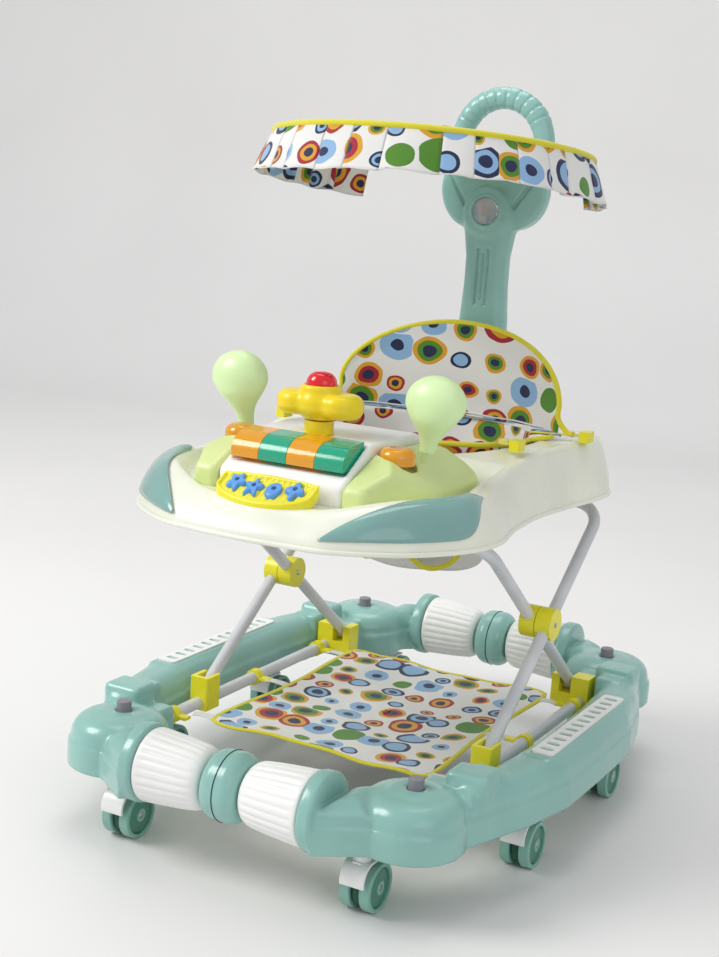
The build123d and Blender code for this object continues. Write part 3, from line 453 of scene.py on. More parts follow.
def outline_distance(points, x, y):
    """Signed distance in plan to a closed outline, negative inside; x is a column, y a row."""
    gx, gy = np.broadcast_arrays(x[:, :, 0], y[:, :, 0])
    best = np.full(gx.shape, 1e9)
    odd = np.zeros(gx.shape, bool)
    following = np.roll(points, -1, 0)
    for (ax, ay), (bx, by) in zip(points, following):
        dx, dy = bx - ax, by - ay
        t = np.clip(((gx - ax) * dx + (gy - ay) * dy) / (dx * dx + dy * dy + 1e-9), 0, 1)
        best = np.minimum(best, np.hypot(gx - ax - t * dx, gy - ay - t * dy))
        if ay != by:
            odd ^= ((ay > gy) != (by > gy)) & (gx < dx * (gy - ay) / dy + ax)
    return np.where(odd, -best, best)[:, :, None]


def blend_min(a, b, k):
    """Union with a soft joint of size k."""
    h = np.clip(0.5 + 0.5 * (b - a) / k, 0, 1)
    return b * (1 - h) + a * h - k * h * (1 - h)


def soft_max(a, b, r):
    """Intersection with a rounded edge of radius r."""
    u, v = np.maximum(a + r, 0), np.maximum(b + r, 0)
    return np.minimum(np.maximum(a, b), -r) + np.sqrt(u * u + v * v)


def slab(v, low, high):
    return np.maximum(low - v, v - high)


def box_field(x, y, z, low, high, r):
    """Rounded box."""
    q = [np.maximum(low[i] + r - v, v - high[i] + r) for i, v in enumerate((x, y, z))]
    outside = np.sqrt(sum(np.maximum(v, 0) ** 2 for v in q))
    return outside + np.minimum(np.maximum(np.maximum(q[0], q[1]), q[2]), 0) - r


def ramp_between(v, low, high):
    t = np.clip((v - low) / (high - low), 0, 1)
    return t * t * (3 - 2 * t)


# ==== floor and wall ================================================================================
def backdrop():
    """Pale floor with a softly curved rise to a pale wall behind."""
    rows = [(-9000, 0), (2900, 0)]
    rows += [(2900 + 900 * sin(a), 900 - 900 * cos(a)) for a in np.linspace(0.1, pi / 2, 12)]
    rows += [(3800, 6200)]
    verts = [(x, y, z) for y, z in rows for x in (-9000, 9000)]
    mesh = bpy.data.meshes.new("studio")
    mesh.from_pydata((np.array(verts) * MM).tolist(), [], grid_faces(len(rows), 2))
    mesh.polygons.foreach_set("use_smooth", [True] * len(mesh.polygons))
    n = Nodes("studio_paint")
    n.look(Base_Color=n.tones(1.2, 3.0, rgb("E6E5E3"), rgb("EAE9E7")), Roughness=0.5)
    mesh.materials.append(n.material)
    studio = bpy.data.objects.new("studio", mesh)
    studio.rotation_euler = (0, 0, radians(12))
    bpy.context.scene.collection.objects.link(studio)


backdrop()
world = bpy.data.worlds.new("studio_air")
bpy.context.scene.world = world
world.use_nodes = True
world.node_tree.nodes["Background"].inputs["Color"].default_value = (0.95, 0.96, 1.0, 1)
bpy.context.scene.view_settings.view_transform = "Standard"
world.node_tree.nodes["Background"].inputs["Strength"].default_value = 0.62


def paint(nodes, material):
    for name in nodes:
        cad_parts[name].data.materials.clear()
        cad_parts[name].data.materials.append(material)


PLACES = ("front", "side_front", "side_rear", "rear")
SIDES = ((-1, "left"), (1, "right"))
ENDS = ((-1, "front"), (1, "rear"))

paint(("cross_tubes", "side_rails", "outer_leg_frame", "inner_leg_frame"), TUBE)
paint(("outer_hub_pucks", "inner_hub_pucks", "front_sliders", "rear_leg_brackets", "mat_clips",
       "seat_clips"), YELLOW)
paint(("hub_shells",), SAGE)
paint(("tread_strips",), WHITE)
paint(("console_body",), WHITE)
paint(("console_panels",), PANEL_LIME)
paint(("steering_column",), WHEEL_YELLOW)
paint(("horn_button",), RED)
paint(("handle_lens",), LENS)
paint(("canopy_hoop",), YELLOW)
paint(("dome_button_left", "dome_button_right", "piano_key_1", "piano_key_3"), ORANGE)
paint(("piano_key_2", "piano_key_4"), TEAL)
for place in PLACES:
    for side, side_name in SIDES:
        paint((f"wheels_{place}_{side_name}",), WHEEL_GREEN)
        paint((f"caster_{place}_{side_name}",), WHITE)
for end, end_name in ENDS:
    for side, side_name in SIDES:
        paint((f"stopper_{end_name}_{side_name}",), GREY)


# ==== base shells ===================================================================================
RIM_Z, CROWN_Z = 76.0, 138.0
BAR_Y, BAR_Z = 372.0, 112.0


def base_field(x, y, z):
    """Right half of the base ring; the same front and rear."""
    v = np.abs(y)
    bow = np.array([(0, 311), (110, 309), (190, 293), (283, 262)])
    outer = np.interp(v, bow[:, 0], bow[:, 1])
    inner = np.interp(v, (0, 110, 222), (236, 233, 222))
    beam = soft_max(soft_max(x - outer, inner - x, 6), v - 288, 10)
    lobe = np.hypot(x - 200, v - 315) - 63
    block = soft_max(soft_max(180 - x, x - 226, 5), slab(v, 228, 298), 5)
    arm = soft_max(soft_max(124 - x, x - 180, 3), soft_max(v - (413 - 0.70 * np.maximum(x - 127, 0)),
                   (334 - 0.95 * np.maximum(x - 127, 0)) - v, 4), 4)
    plan = blend_min(blend_min(beam, lobe, 9), arm, 9)
    low_plan = blend_min(plan, block, 6)
    wall = soft_max(low_plan, slab(z, RIM_Z, 108), 1.5)
    crown = soft_max(plan + 3.4, z - CROWN_Z, 25)
    crown = np.maximum(crown, RIM_Z + 4 - z)
    low_block = soft_max(block, slab(z, RIM_Z, 128), 6)
    bump = box_field(x, v, z, (213, 222, 100), (267, 265, 150), 7)
    step = box_field(x, v, z, (222, 196, 100), (262, 268, 142), 6)
    strip_bed = soft_max(soft_max(slab(x, 254, 293), slab(y, -134, 150), 6), z - 138.6, 3)
    boss = soft_max(np.hypot(x - 200, v - 309) - 17, slab(z, 120, 140), 3)
    shoulder = soft_max(np.hypot(x - 200, v - 309) - 30, slab(z, 110, 139), 6)
    collar = soft_max(np.hypot(v - BAR_Y, z - BAR_Z) - 47, slab(x, 110, 129), 3.5)
    body = blend_min(blend_min(wall, crown, 1.5), low_block, 3)
    for extra, softness in ((step, 5), (bump, 3), (shoulder, 8), (boss, 2), (strip_bed, 3), (collar, 4)):
        body = blend_min(body, extra, softness)
    # open underneath, with a wall about 4 mm thick
    hollow = np.maximum(low_plan + 10.5, z - 105)
    hollow = np.maximum(hollow, 134 - x)
    body = np.maximum(body, -hollow)
    # hole of the stopper plug and the bar's seat
    body = np.maximum(body, -(np.maximum(np.hypot(x - 200, v - 309) - 9.6, 112 - z)))
    return body


def base_shells():
    verts, faces = surface_net(base_field, (104, -424, 60), (316, 424, 163), 2.8)
    for side, side_name in SIDES:
        piece = add_piece(f"base_cover_{side_name}", *mirrored(verts, faces, side), SAGE, "base",
                          "sage_plastic")
        modify(piece, "SMOOTH", iterations=2, factor=0.5)
        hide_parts(f"base_{side_name}_shell")


base_shells()


# ==== drums, hubs ===================================================================================
def fluted_drum(side, end):
    """White drum with soft flutes between plain end bands."""
    flutes, around = 26, 260
    profile = [(109, 20), (109, 42.0), (108.2, 43.2), (106.5, 43.8), (103, 43.8), (100, 43.6),
               (92, 43.1), (80, 42.2), (68, 41.3), (56, 40.2), (46, 39.0), (40, 38.2), (36.5, 37.2),
               (33, 35.6), (30, 33.2), (28, 30.5), (27, 27.5), (27, 20)]
    verts = []
    for x, r in profile:
        depth = 1.25 * float(ramp_between(x, 30, 40) * (1 - ramp_between(x, 101, 104)))
        for k in range(around):
            a = 2 * pi * k / around
            radius = r - depth * (0.5 + 0.5 * cos(flutes * a)) ** 2
            verts.append((side * x, end * BAR_Y + radius * cos(a), BAR_Z + radius * sin(a)))
    faces = grid_faces(len(profile), around, wrap=True)
    if side < 0:
        faces = [f[::-1] for f in faces]
    return verts, faces


for end, end_name in ENDS:
    for side, side_name in SIDES:
        verts, faces = fluted_drum(side, end)
        body = f"drum_{end_name}_{side_name}"
        drum = add_piece(f"fluted_{body}", verts, faces, WHITE, body, "white_plastic")
        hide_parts(body)
    turn = np.linspace(0, 2 * pi, 64, endpoint=False)
    ring = [(0, end * BAR_Y + 41.6 * cos(a), BAR_Z + 41.6 * sin(a)) for a in turn]
    add_tube(f"hub_seam_{end_name}", ring, 0.7, SEAM, "base", "sage_plastic", closed=True, around=6)


# ==== casters =======================================================================================
CASTERS = {"front": (163.0, -354.0), "side_front": (262.0, -141.0), "side_rear": (262.0, 129.0),
           "rear": (163.0, 338.0)}
TRAIL, WHEEL_R = 12.0, 28.5


def disc(x0, x1, cy, cz, rings, around=48):
    """Turned shape about an axle along X: rings are (share of the way from x0 to x1, radius)."""
    verts = []
    for share, r in rings:
        x = x0 + share * (x1 - x0)
        verts += [(x, cy + r * cos(2 * pi * k / around), cz + r * sin(2 * pi * k / around))
                  for k in range(around)]
    faces = grid_faces(len(rings), around, wrap=True)
    if x1 > x0:
        faces = [f[::-1] for f in faces]
    return verts, faces


for place, (stem_x, stem_y) in CASTERS.items():
    for side, side_name in SIDES:
        cx, cy = side * stem_x, stem_y + TRAIL
        for hand in (-1, 1):
            face_x = cx + hand * 6.0
            # sunk face of the wheel with a raised hub and a bright axle end; its darker green is painted
            # shade
            verts, faces = disc(face_x + hand * 10.1, face_x + hand * 12.4, cy, WHEEL_R,
                                [(0.0, 23.4), (0.15, 23.2), (0.3, 20), (0.3, 12), (0.9, 9), (1.0, 7),
                                 (1.0, 0.1)])
            add_piece(f"wheel_face_{place}_{side_name}_{hand + 1}", verts, faces, WHEEL_FACE_SHADE,
                      f"wheels_{place}_{side_name}", "wheel_plastic")
            verts, faces = disc(face_x + hand * 12.0, face_x + hand * 13.4, cy, WHEEL_R,
                                [(0.0, 3.4), (0.6, 3.4), (1.0, 2.0), (1.0, 0.1)], 20)
            add_piece(f"axle_end_{place}_{side_name}_{hand + 1}", verts, faces, STEEL,
                      f"wheels_{place}_{side_name}", "wheel_plastic")
        verts, faces = disc(cx - 5.6, cx + 5.6, cy, WHEEL_R,
                            [(0.0, 0.1), (0.0, 24.0), (0.06, 24.6), (0.94, 24.6), (1.0, 24.0),
                             (1.0, 0.1)])
        add_piece(f"caster_web_{place}_{side_name}", verts, faces, DARK_GREEN,
                  f"caster_{place}_{side_name}", "dark_green_plastic")


# ==== screws on the leg hubs ========================================================================
def screw(name, centre, axis, body, radius=3.4):
    """Pan head, axis along +X or -X."""
    x, y, z = centre
    rings = [(0.0, radius), (0.5, radius), (1.0, radius * 0.6), (1.0, 0.1)]
    verts, faces = disc(x, x + axis * 1.6, y, z, rings, 20)
    add_piece(name, verts, faces, STEEL, body, "white_tube")


CROSS_Y, CROSS_Z = 45.0, 249.0
for side, side_name in SIDES:
    for legs, x, axis in (("outer", 214.5, side), ("inner", 171.5, -side)):
        screw(f"hub_screw_{legs}_{side_name}", (side * x, CROSS_Y, CROSS_Z), axis, f"{legs}_legs")


# ==== footrest mat ==================================================================================
def soft_rectangle(t, half_x, half_y, power=22.0):
    """Rounded rectangle by angle."""
    c, s = cos(t), sin(t)
    r = (abs(c) ** power + abs(s) ** power) ** (-1 / power)
    return half_x * r * c, half_y * r * s


def footrest():
    """Printed mat, sagging between its clips, with a bound edge and strap tabs."""
    half_x, y0, y1 = 156.0, -190.0, 205.0
    mid_y, half_y = (y0 + y1) / 2, (y1 - y0) / 2
    rows, columns = 40, 128

    def drop(u, v):
        sag = -9.0 * (1 - (u / half_x) ** 2) * (1 - ((v - mid_y) / half_y) ** 2)
        crease = 1.6 * sin(v / 19.0 + 1.3 * sin(u / 34.0)) * (1 - abs(u / half_x) ** 3)
        pull = 1.2 * sin(u / 15.0) * (abs(v - mid_y) / half_y) ** 4
        return 101.5 + sag + crease + pull

    verts, uv = [(0, mid_y, drop(0, mid_y))], [(0, mid_y)]
    for i in range(1, rows + 1):
        share = i / rows
        for k in range(columns):
            u, v = soft_rectangle(2 * pi * k / columns, half_x * share, half_y * share)
            scallop = 1 - 0.05 * (1 + cos(4 * 2 * pi * k / columns)) / 2
            u, v = u * scallop, v * scallop + mid_y
            verts.append((u, v, drop(u, v)))
            uv.append((u, v))
    faces = [(0, 1 + k, 1 + (k + 1) % columns) for k in range(columns)]
    faces += [tuple(1 + i for i in f) for f in grid_faces(rows, columns, wrap=True)]
    mat = add_piece("mat_print", verts, faces, PRINT, "base", "printed_fabric", uv=uv)
    modify(mat, "SOLIDIFY", thickness=0.0022, offset=0)
    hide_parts("footrest_mat")
    edge = verts[-columns:]
    binding = add_tube("mat_binding", edge, 3.6, BINDING, "base", "printed_fabric", closed=True,
                       around=10, flat=0.62)
    for side, side_name in SIDES:
        for number, y in enumerate((-176, -2, 170)):
            path = smooth_path([(side * 146, y, 100.5), (side * 160, y, 102), (side * 174, y, 102.5),
                                (side * 184, y - 3, 102)], 5)
            strap = add_tube(f"mat_strap_{side_name}_{number}", path, 8.0, LINING, "base",
                             "printed_fabric", around=10, flat=0.14)


footrest()


# ==== tray ==========================================================================================
TRAY_HALF = [(0, -385), (60, -382), (112, -371), (176, -326), (218, -262), (229, -200), (214, -120),
             (207, -30), (214, 60), (223, 130), (221, 185), (198, 222), (130, 240), (0, 247)]
TRAY_CORNERS = TRAY_HALF + [(-x, y) for x, y in TRAY_HALF[-2:0:-1]]
TRAY_LOOP = smooth_path(TRAY_CORNERS, 8, closed=True)
TRAY_RIM = smooth_path(TRAY_CORNERS, 12, closed=True)
OPEN_Y, OPEN_A, OPEN_B = 62.0, 150.0, 128.0
TRAY_LOW, DISH_Z = 400.0, 436.5


def tray_top(inset, x, y):
    """Height of the tray's skin: skirt up to a ridge, then down into the dish or across to the wings."""
    rear = ramp_between(y, -150, 40)
    side = np.maximum(ramp_between(np.abs(x), 60, 160), ramp_between(y, -300, -220))
    ridge = 438.0 + 17.0 * side + 22.0 * rear
    reach = 42.0 - 18.0 * rear
    rise = np.clip(inset / reach, 0, 1)
    skirt = TRAY_LOW + 8 + (ridge - TRAY_LOW - 8) * np.sin(rise * pi / 2) ** 0.85
    fall = ramp_between(inset, reach, reach + 18)
    dish = ridge + (DISH_Z - ridge) * fall * (1 - ramp_between(y, -95, -55))
    return np.where(inset < reach, skirt, dish)


def tray_field(x, y, z):
    edge = outline_distance(TRAY_LOOP, x, y)
    inset = -edge
    top = tray_top(inset, x, y)
    hole = (np.hypot(x / OPEN_A, (y - OPEN_Y) / OPEN_B) - 1) * 135.0
    # grip ribs along the outer side of the wings
    ribs = 1.5 * (0.5 + 0.5 * np.cos(2 * pi * (inset - 0.09 * y) / 7.0)) * ramp_between(inset, 5, 9)
    ribs = ribs * (1 - ramp_between(inset, 26, 32)) * ramp_between(y, -186, -166)
    ribs = ribs * (1 - ramp_between(y, -90, -50))
    solid = soft_max(soft_max(edge, z - (top + ribs), 4), TRAY_LOW - z, 2)
    solid = soft_max(solid, -hole, 7)
    under = np.minimum(tray_top(inset - 9, x, y), tray_top(inset + 9, x, y)) - 6.5
    under = np.maximum(np.maximum(edge + 8.0, z - under), -(hole - 7.0))
    solid = np.maximum(solid, -under)
    # collar that holds the handle's foot
    foot = box_field(x, y, z, (-47, 196, 426), (47, 252, 482), 12)
    solid = blend_min(solid, foot, 8)
    return solid


tray = add_field("tray_moulding", tray_field, (-234, -390, 396), (234, 256, 486), 3.0, IVORY, "tray",
                 "ivory_plastic", relax=3)
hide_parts("tray_shell")

add_tube("tray_rim_bead", [(x, y, TRAY_LOW + 3) for x, y in TRAY_RIM], 3.0, IVORY, "tray",
         "ivory_plastic", closed=True, around=8)


def skirt_patch(name, start, end, low, high, bulge, material, slot_name):
    """Leaf-shaped insert on the skirt: along the outline from start to end, across it low to high."""
    loop = TRAY_RIM
    step = np.roll(loop, -1, 0) - np.roll(loop, 1, 0)
    step /= np.linalg.norm(step, axis=1)[:, None]
    inward = np.stack([-step[:, 1], step[:, 0]], 1)
    rows, columns = 15, 60
    verts = []
    for i in range(rows):
        for k in range(columns):
            share = k / (columns - 1)
            at = start + (end - start) * share
            a = int(at) % len(loop)
            b = (a + 1) % len(loop)
            f = at - int(at)
            place = loop[a] * (1 - f) + loop[b] * f
            normal = inward[a] * (1 - f) + inward[b] * f
            lower = low + 24.0 * float(ramp_between(share, 0.6, 1.0)) ** 1.5
            upper = low + 1 + (high - low) * sin(min(1.0, share / 0.75) * pi / 2)
            upper -= 16.0 * float(ramp_between(share, 0.85, 1.0)) ** 2
            across = lower + (upper - lower) * i / (rows - 1)
            width = min(1.0, 5 * share, 8 * (1 - share))
            x, y = place + normal * across
            crown = (1 - (2 * i / (rows - 1) - 1) ** 2) * bulge * width
            z = float(tray_top(across, x, y))
            out = 1.2 + crown * 0.7
            verts.append((x - normal[0] * out, y - normal[1] * out, z + 0.7 + crown))
    patch = add_piece(name, verts, grid_faces(rows, columns), material, "tray", slot_name)
    modify(patch, "SOLIDIFY", thickness=0.002, offset=-1)
    return patch


def loop_index(x, y):
    return int(np.argmin(np.hypot(TRAY_RIM[:, 0] - x, TRAY_RIM[:, 1] - y)))


# sage inserts round the two front corners
inserts = {name: skirt_patch(f"corner_insert_{name}", loop_index(side * 92, -376),
                             loop_index(side * 228, -190), 3.0, 45.0, 2.6, INSERT, "insert_plastic")
           for side, name in SIDES[::-1]}
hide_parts("tray_inserts")


# ---- name plate: smile outline with upright ribs and four simple shapes ----------------------------
PLATE_Y = -338.0


def plate_height(y):
    return 448.0 + 0.6 * (y - PLATE_Y)


def plate_field(x, y, z):
    u, v = x / 63.0, y - PLATE_Y
    upper = v - (21 - 4.0 * u * u)
    lower = -(v + 25 * np.sqrt(np.maximum(1 - u * u, 0)) - 4)
    outline = np.maximum(np.maximum(upper, lower), np.abs(x) - 62)
    face = plate_height(y)
    top = face + 0.9 * np.cos(2 * pi * x / 7.6)
    rim = np.where(outline > -4, face + 3.0, top)
    return soft_max(soft_max(outline, z - rim, 1.2), face - 13 - z, 0.5)


plate = add_field("ribbed_plate", plate_field, (-65, -366, 418), (65, -312, 466), 1.25, YELLOW, "tray",
                  "yellow_plastic", relax=1)
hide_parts("name_plate")


def plate_shape(name, centre, radius_at):
    """Raised rounded shape given by its radius at each angle, with a navy dot."""
    cx, cy = centre
    around = 72
    rings = [(0.0, 1.0), (2.6, 1.0), (4.4, 0.93), (5.2, 0.82), (5.4, 0.6), (5.4, 0.02)]
    verts = []
    for height, share in rings:
        for k in range(around):
            a = 2 * pi * k / around
            r = radius_at(a) * share
            verts.append((cx + r * cos(a), cy + r * sin(a), plate_height(cy + r * sin(a)) + height))
    add_piece(name, verts, grid_faces(len(rings), around, wrap=True), BLUE, "tray",
              "insert_plastic")
    verts, faces = [], []
    for height, share in ((0.0, 1.0), (0.8, 1.0), (1.3, 0.7), (1.4, 0.02)):
        for k in range(24):
            a = 2 * pi * k / 24
            x, y = cx + 2.6 * share * cos(a), cy + 2.6 * share * sin(a)
            verts.append((x, y, plate_height(y) + 5.0 + height))
    add_piece(name + "_dot", verts, grid_faces(4, 24, wrap=True), NAVY_DOT, "tray",
              "insert_plastic")


plate_shape("plate_flower", (-38, -334), lambda a: 9.6 + 2.3 * cos(5 * a))
plate_shape("plate_star", (-13, PLATE_Y),
            lambda a: 8.6 + 3.4 * cos(5 * (a - pi / 2)) * (1 + 0.2 * cos(5 * (a - pi / 2))))
plate_shape("plate_ball", (13, PLATE_Y), lambda a: 9.8)
plate_shape("plate_clover", (38, -334), lambda a: 9.4 + 2.6 * cos(4 * a))


# ==== console =======================================================================================
COLUMN_Y = -222.0               # steering column and the two round buttons
STALK_X, STALK_Y = 123.0, -184.0    # foot of a toy mirror


def console_field(x, y, z):
    """White toy console: rounded front lip, sloped key deck, flat top."""
    front = -299 - 13 * np.sqrt(np.maximum(1 - (x / 100.0) ** 2, 0))
    slope = np.minimum(470 + (y + 298) * 0.55, 500 - ramp_between(y, -125, -92) * 26)
    top = np.minimum(slope, 459 + (y - front) * 0.62)
    solid = soft_max(soft_max(np.abs(x) - 82, z - top, 5), np.maximum(front - y, y + 92), 6)
    solid = np.maximum(solid, 434 - z)
    keys = np.maximum(np.maximum(np.abs(x) - 75.5, slab(y, -296, -244.5)), 468 - z)
    solid = np.maximum(solid, -keys)
    return np.maximum(solid, -np.maximum(np.hypot(x, y - COLUMN_Y) - 15.5, 476 - z))


console = add_field("console_moulding", console_field, (-86, -350, 432), (86, -88, 506), 2.0, WHITE,
                    "tray", "white_plastic")
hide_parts("console_body")


def panel_field(x, y, z):
    """Light green end panel with a round button seat."""
    outer = 153 - 40 * ramp_between(-y, 205, 318)
    top = np.minimum(np.interp(x, (82, 112, 152), (492, 485, 456)), 466 + (y + 298) * 0.42)
    top = np.minimum(top, 493 - 26 * ramp_between(y, -118, -92))
    solid = soft_max(soft_max(soft_max(82.6 - x, x - outer, 4), z - top, 9), slab(y, -312, -92), 8)
    solid = np.maximum(solid, 434 - z)
    solid = np.maximum(solid, -np.maximum(np.hypot(x - 105, y - COLUMN_Y) - 22.6, 470 - z))
    return np.maximum(solid, -np.maximum(np.hypot(x - STALK_X, y - STALK_Y) - 7.0, 478 - z))


panel_shape = surface_net(panel_field, (80, -316, 432), (156, -88, 498), 2.0)
for side, side_name in SIDES:
    panel = add_piece(f"console_end_{side_name}", *mirrored(*panel_shape, side), PANEL_LIME, "tray",
                      "panel_lime_plastic")
    modify(panel, "SMOOTH", iterations=2, factor=0.5)
    if side > 0:
        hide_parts("console_panels")


# ---- steering wheel, toy mirrors -------------------------------------------------------------------
def wheel_field(x, y, z):
    """Butterfly wheel: two thick round lobes, a waisted middle and a raised boss for the horn."""
    v = y - COLUMN_Y
    lobes = np.hypot(np.abs(x) - 29, v * 0.92) - 25
    middle = np.hypot(x, v) - 28
    plan = blend_min(lobes, middle, 6)
    ring = soft_max(plan, slab(z, 521, 549.5), 12)
    boss = soft_max(np.hypot(x, v) - 24.0, slab(z, 530, 558), 4)
    neck = np.hypot(x, v) - (17 + 6 * ramp_between(z, 512, 526))
    neck = soft_max(neck, slab(z, 517.5, 530), 1)
    shape = blend_min(blend_min(ring, boss, 5), neck, 3)
    return np.maximum(shape, -np.maximum(np.hypot(x, v) - 18.6, 550 - z))


yoke = add_field("butterfly_wheel", wheel_field, (-56, -252, 514), (56, -192, 562), 1.6, WHEEL_YELLOW,
                 "steering_wheel", "wheel_yellow_plastic")
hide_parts("steering_wheel")


def mirror_field(x, y, z):
    """Egg-shaped toy mirror on a slim neck."""
    wide = 37 - 5 * ramp_between(547 - z, 0, 30)
    bulb = (np.sqrt(((x - 133) / wide) ** 2 + ((y + 190) / 26) ** 2 + ((z - 549) / 32) ** 2) - 1) * 26
    t = np.clip((z - 486) / 44, 0, 1)
    neck = np.hypot(x - STALK_X - 7 * t, y - STALK_Y + 4 * t) - (9.5 + 9.0 * t * t)
    neck = soft_max(neck, slab(z, 489, 534), 1.5)
    return blend_min(bulb, neck, 16)


mirror_shape = surface_net(mirror_field, (92, -220, 484), (174, -160, 582), 2.0)
for side, side_name in SIDES:
    toy = add_piece(f"egg_mirror_{side_name}", *mirrored(*mirror_shape, side), LIME,
                    f"toy_mirror_{side_name}", "lime_plastic")
    modify(toy, "SMOOTH", iterations=3, factor=0.5)
    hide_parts(f"toy_mirror_{side_name}")


# ==== push handle ===================================================================================
POLE_Y, HEAD_Z = 225.0, 762.0
LOOP_Y, LOOP_Z, LOOP_R, LOOP_TUBE = 243.0, 854.5, 62.0, 14.5
PIN_Y, PIN_Z = 222.0, 826.0         # hinge of the canopy


def handle_field(x, y, z):
    half_w = np.interp(z, (446, 603, 660, 700, 742, 775), (36, 34, 30.5, 30.5, 37, 38))
    pole = soft_max(np.abs(x) - half_w, np.abs(y - POLE_Y) - 21, 17)
    pole = soft_max(pole, slab(z, 446, 752), 4)
    head = soft_max(np.hypot(x, z - HEAD_Z) - 35, slab(y, 203.5, 247), 5)
    # horn-shaped ears: a crescent cut by the inside of the loop
    u = np.abs(x)
    ear = soft_max(np.hypot(u - 30, (z - 792) * 0.9) - 49, -(np.hypot(x, z - 857) - 51), 4)
    ear = soft_max(ear, slab(y, 213 + 6 * ramp_between(u, 40, 75), 246), 7)
    along = np.clip(((u - 33) * 39 + (z - 764) * 58) / 4885.0, 0, 1)
    crease = np.hypot(u - 33 - 39 * along, z - 764 - 58 * along) - 2.6
    ear = np.maximum(ear, -soft_max(crease, y - (217 + 6 * ramp_between(u, 40, 75)), 1))
    ring = np.hypot(np.hypot(x, z - LOOP_Z) - LOOP_R, y - LOOP_Y) - LOOP_TUBE
    angle = np.arctan2(z - LOOP_Z, x)
    wrap = np.abs(((angle * 180 / pi) % 13.0) - 6.5)
    grip = ramp_between(angle, 0.35, 0.55) * (1 - ramp_between(angle, pi - 0.55, pi - 0.35))
    ring = ring - 1.9 * grip * ramp_between(wrap, 0.2, 1.8) + 1.0 * grip
    boss = np.hypot(y - PIN_Y, np.maximum(z - PIN_Z, 0)) - 7
    boss = soft_max(np.maximum(np.abs(x) - 13, boss), 780 - z, 2)
    body = blend_min(blend_min(pole, head, 7), ear, 6)
    body = blend_min(body, ring, 7)
    body = blend_min(body, boss, 2)
    # three upright grooves, the lens seat, and a parting line round the sides
    for groove_x in (-7.5, 0, 7.5):
        low, high = (633, 712) if groove_x else (640, 705)
        groove = soft_max(np.hypot(x - groove_x, (y - 203.8) * 0.6) - 2.6, slab(z, low, high), 1.5)
        body = np.maximum(body, -groove)
    body = np.maximum(body, -np.maximum(np.hypot(x, z - HEAD_Z) - 18.6, y - 206.5))
    rim = np.hypot(np.hypot(x, z - HEAD_Z) - 21, y - 203.5) - 2.6
    body = blend_min(body, rim, 2)
    seam = np.abs(y - (POLE_Y + 0.042 * (z - 446))) - 0.6
    return np.maximum(body, -np.maximum(seam, -(body + 1.4)))


handle = add_field("push_handle", handle_field, (-82, 198, 444), (82, 262, 932), 2.0, SAGE, "tray",
                   "sage_plastic", relax=1)
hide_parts("handle_shells")


# ---- lens card behind the clear button on the handle -----------------------------------------------
def lens_card():
    n = Nodes("lens_card")
    spots = n.node("ShaderNodeTexVoronoi", Scale=95.0, Randomness=0.8)
    n.put(spots.inputs["Vector"], n.place())
    pick = n.node("ShaderNodeSeparateColor", i0=spots.outputs["Color"]).outputs[0]
    tone = n.ramp(pick, [(0.0, rgb("C7D6DB")), (0.3, rgb("E5B9B4")), (0.55, rgb("EDE6D6")),
                         (0.8, rgb("8FB4D6"))])
    n.look(Base_Color=n.mix(n.noise(60.0, 3.0), tone, rgb("DDE6E2")), Roughness=0.35)
    verts, faces = [], []
    for y, r in ((206.4, 17.4), (206.2, 17.4), (206.0, 16.8), (206.0, 9.0), (206.0, 0.05)):
        for k in range(48):
            verts.append((r * cos(2 * pi * k / 48), y, HEAD_Z + r * sin(2 * pi * k / 48)))
    add_piece("lens_card", verts, grid_faces(5, 48, wrap=True), n.material, "tray", "lens")


lens_card()


# ==== seat ==========================================================================================
BACK_HALF, BACK_FOOT, BACK_SPRING, BACK_RISE = 164.0, 484.0, 515.0, 95.0
RING_A, RING_B = 196.5, 106.0
HEM_Z, HEM_A, HEM_B = 292.0, 90.0, 72.0
RIM_A, RIM_B = OPEN_A - 7.0, OPEN_B - 15.0


def back_point(x, z, out=0.0):
    """Point on the curved back panel."""
    return x, OPEN_Y + (RING_B + out) * sqrt(max(0.0, 1 - (x / (RING_A + out)) ** 2)), z


def arch_height(x):
    return BACK_SPRING + BACK_RISE * sqrt(max(0.0, 1 - (x / BACK_HALF) ** 2))


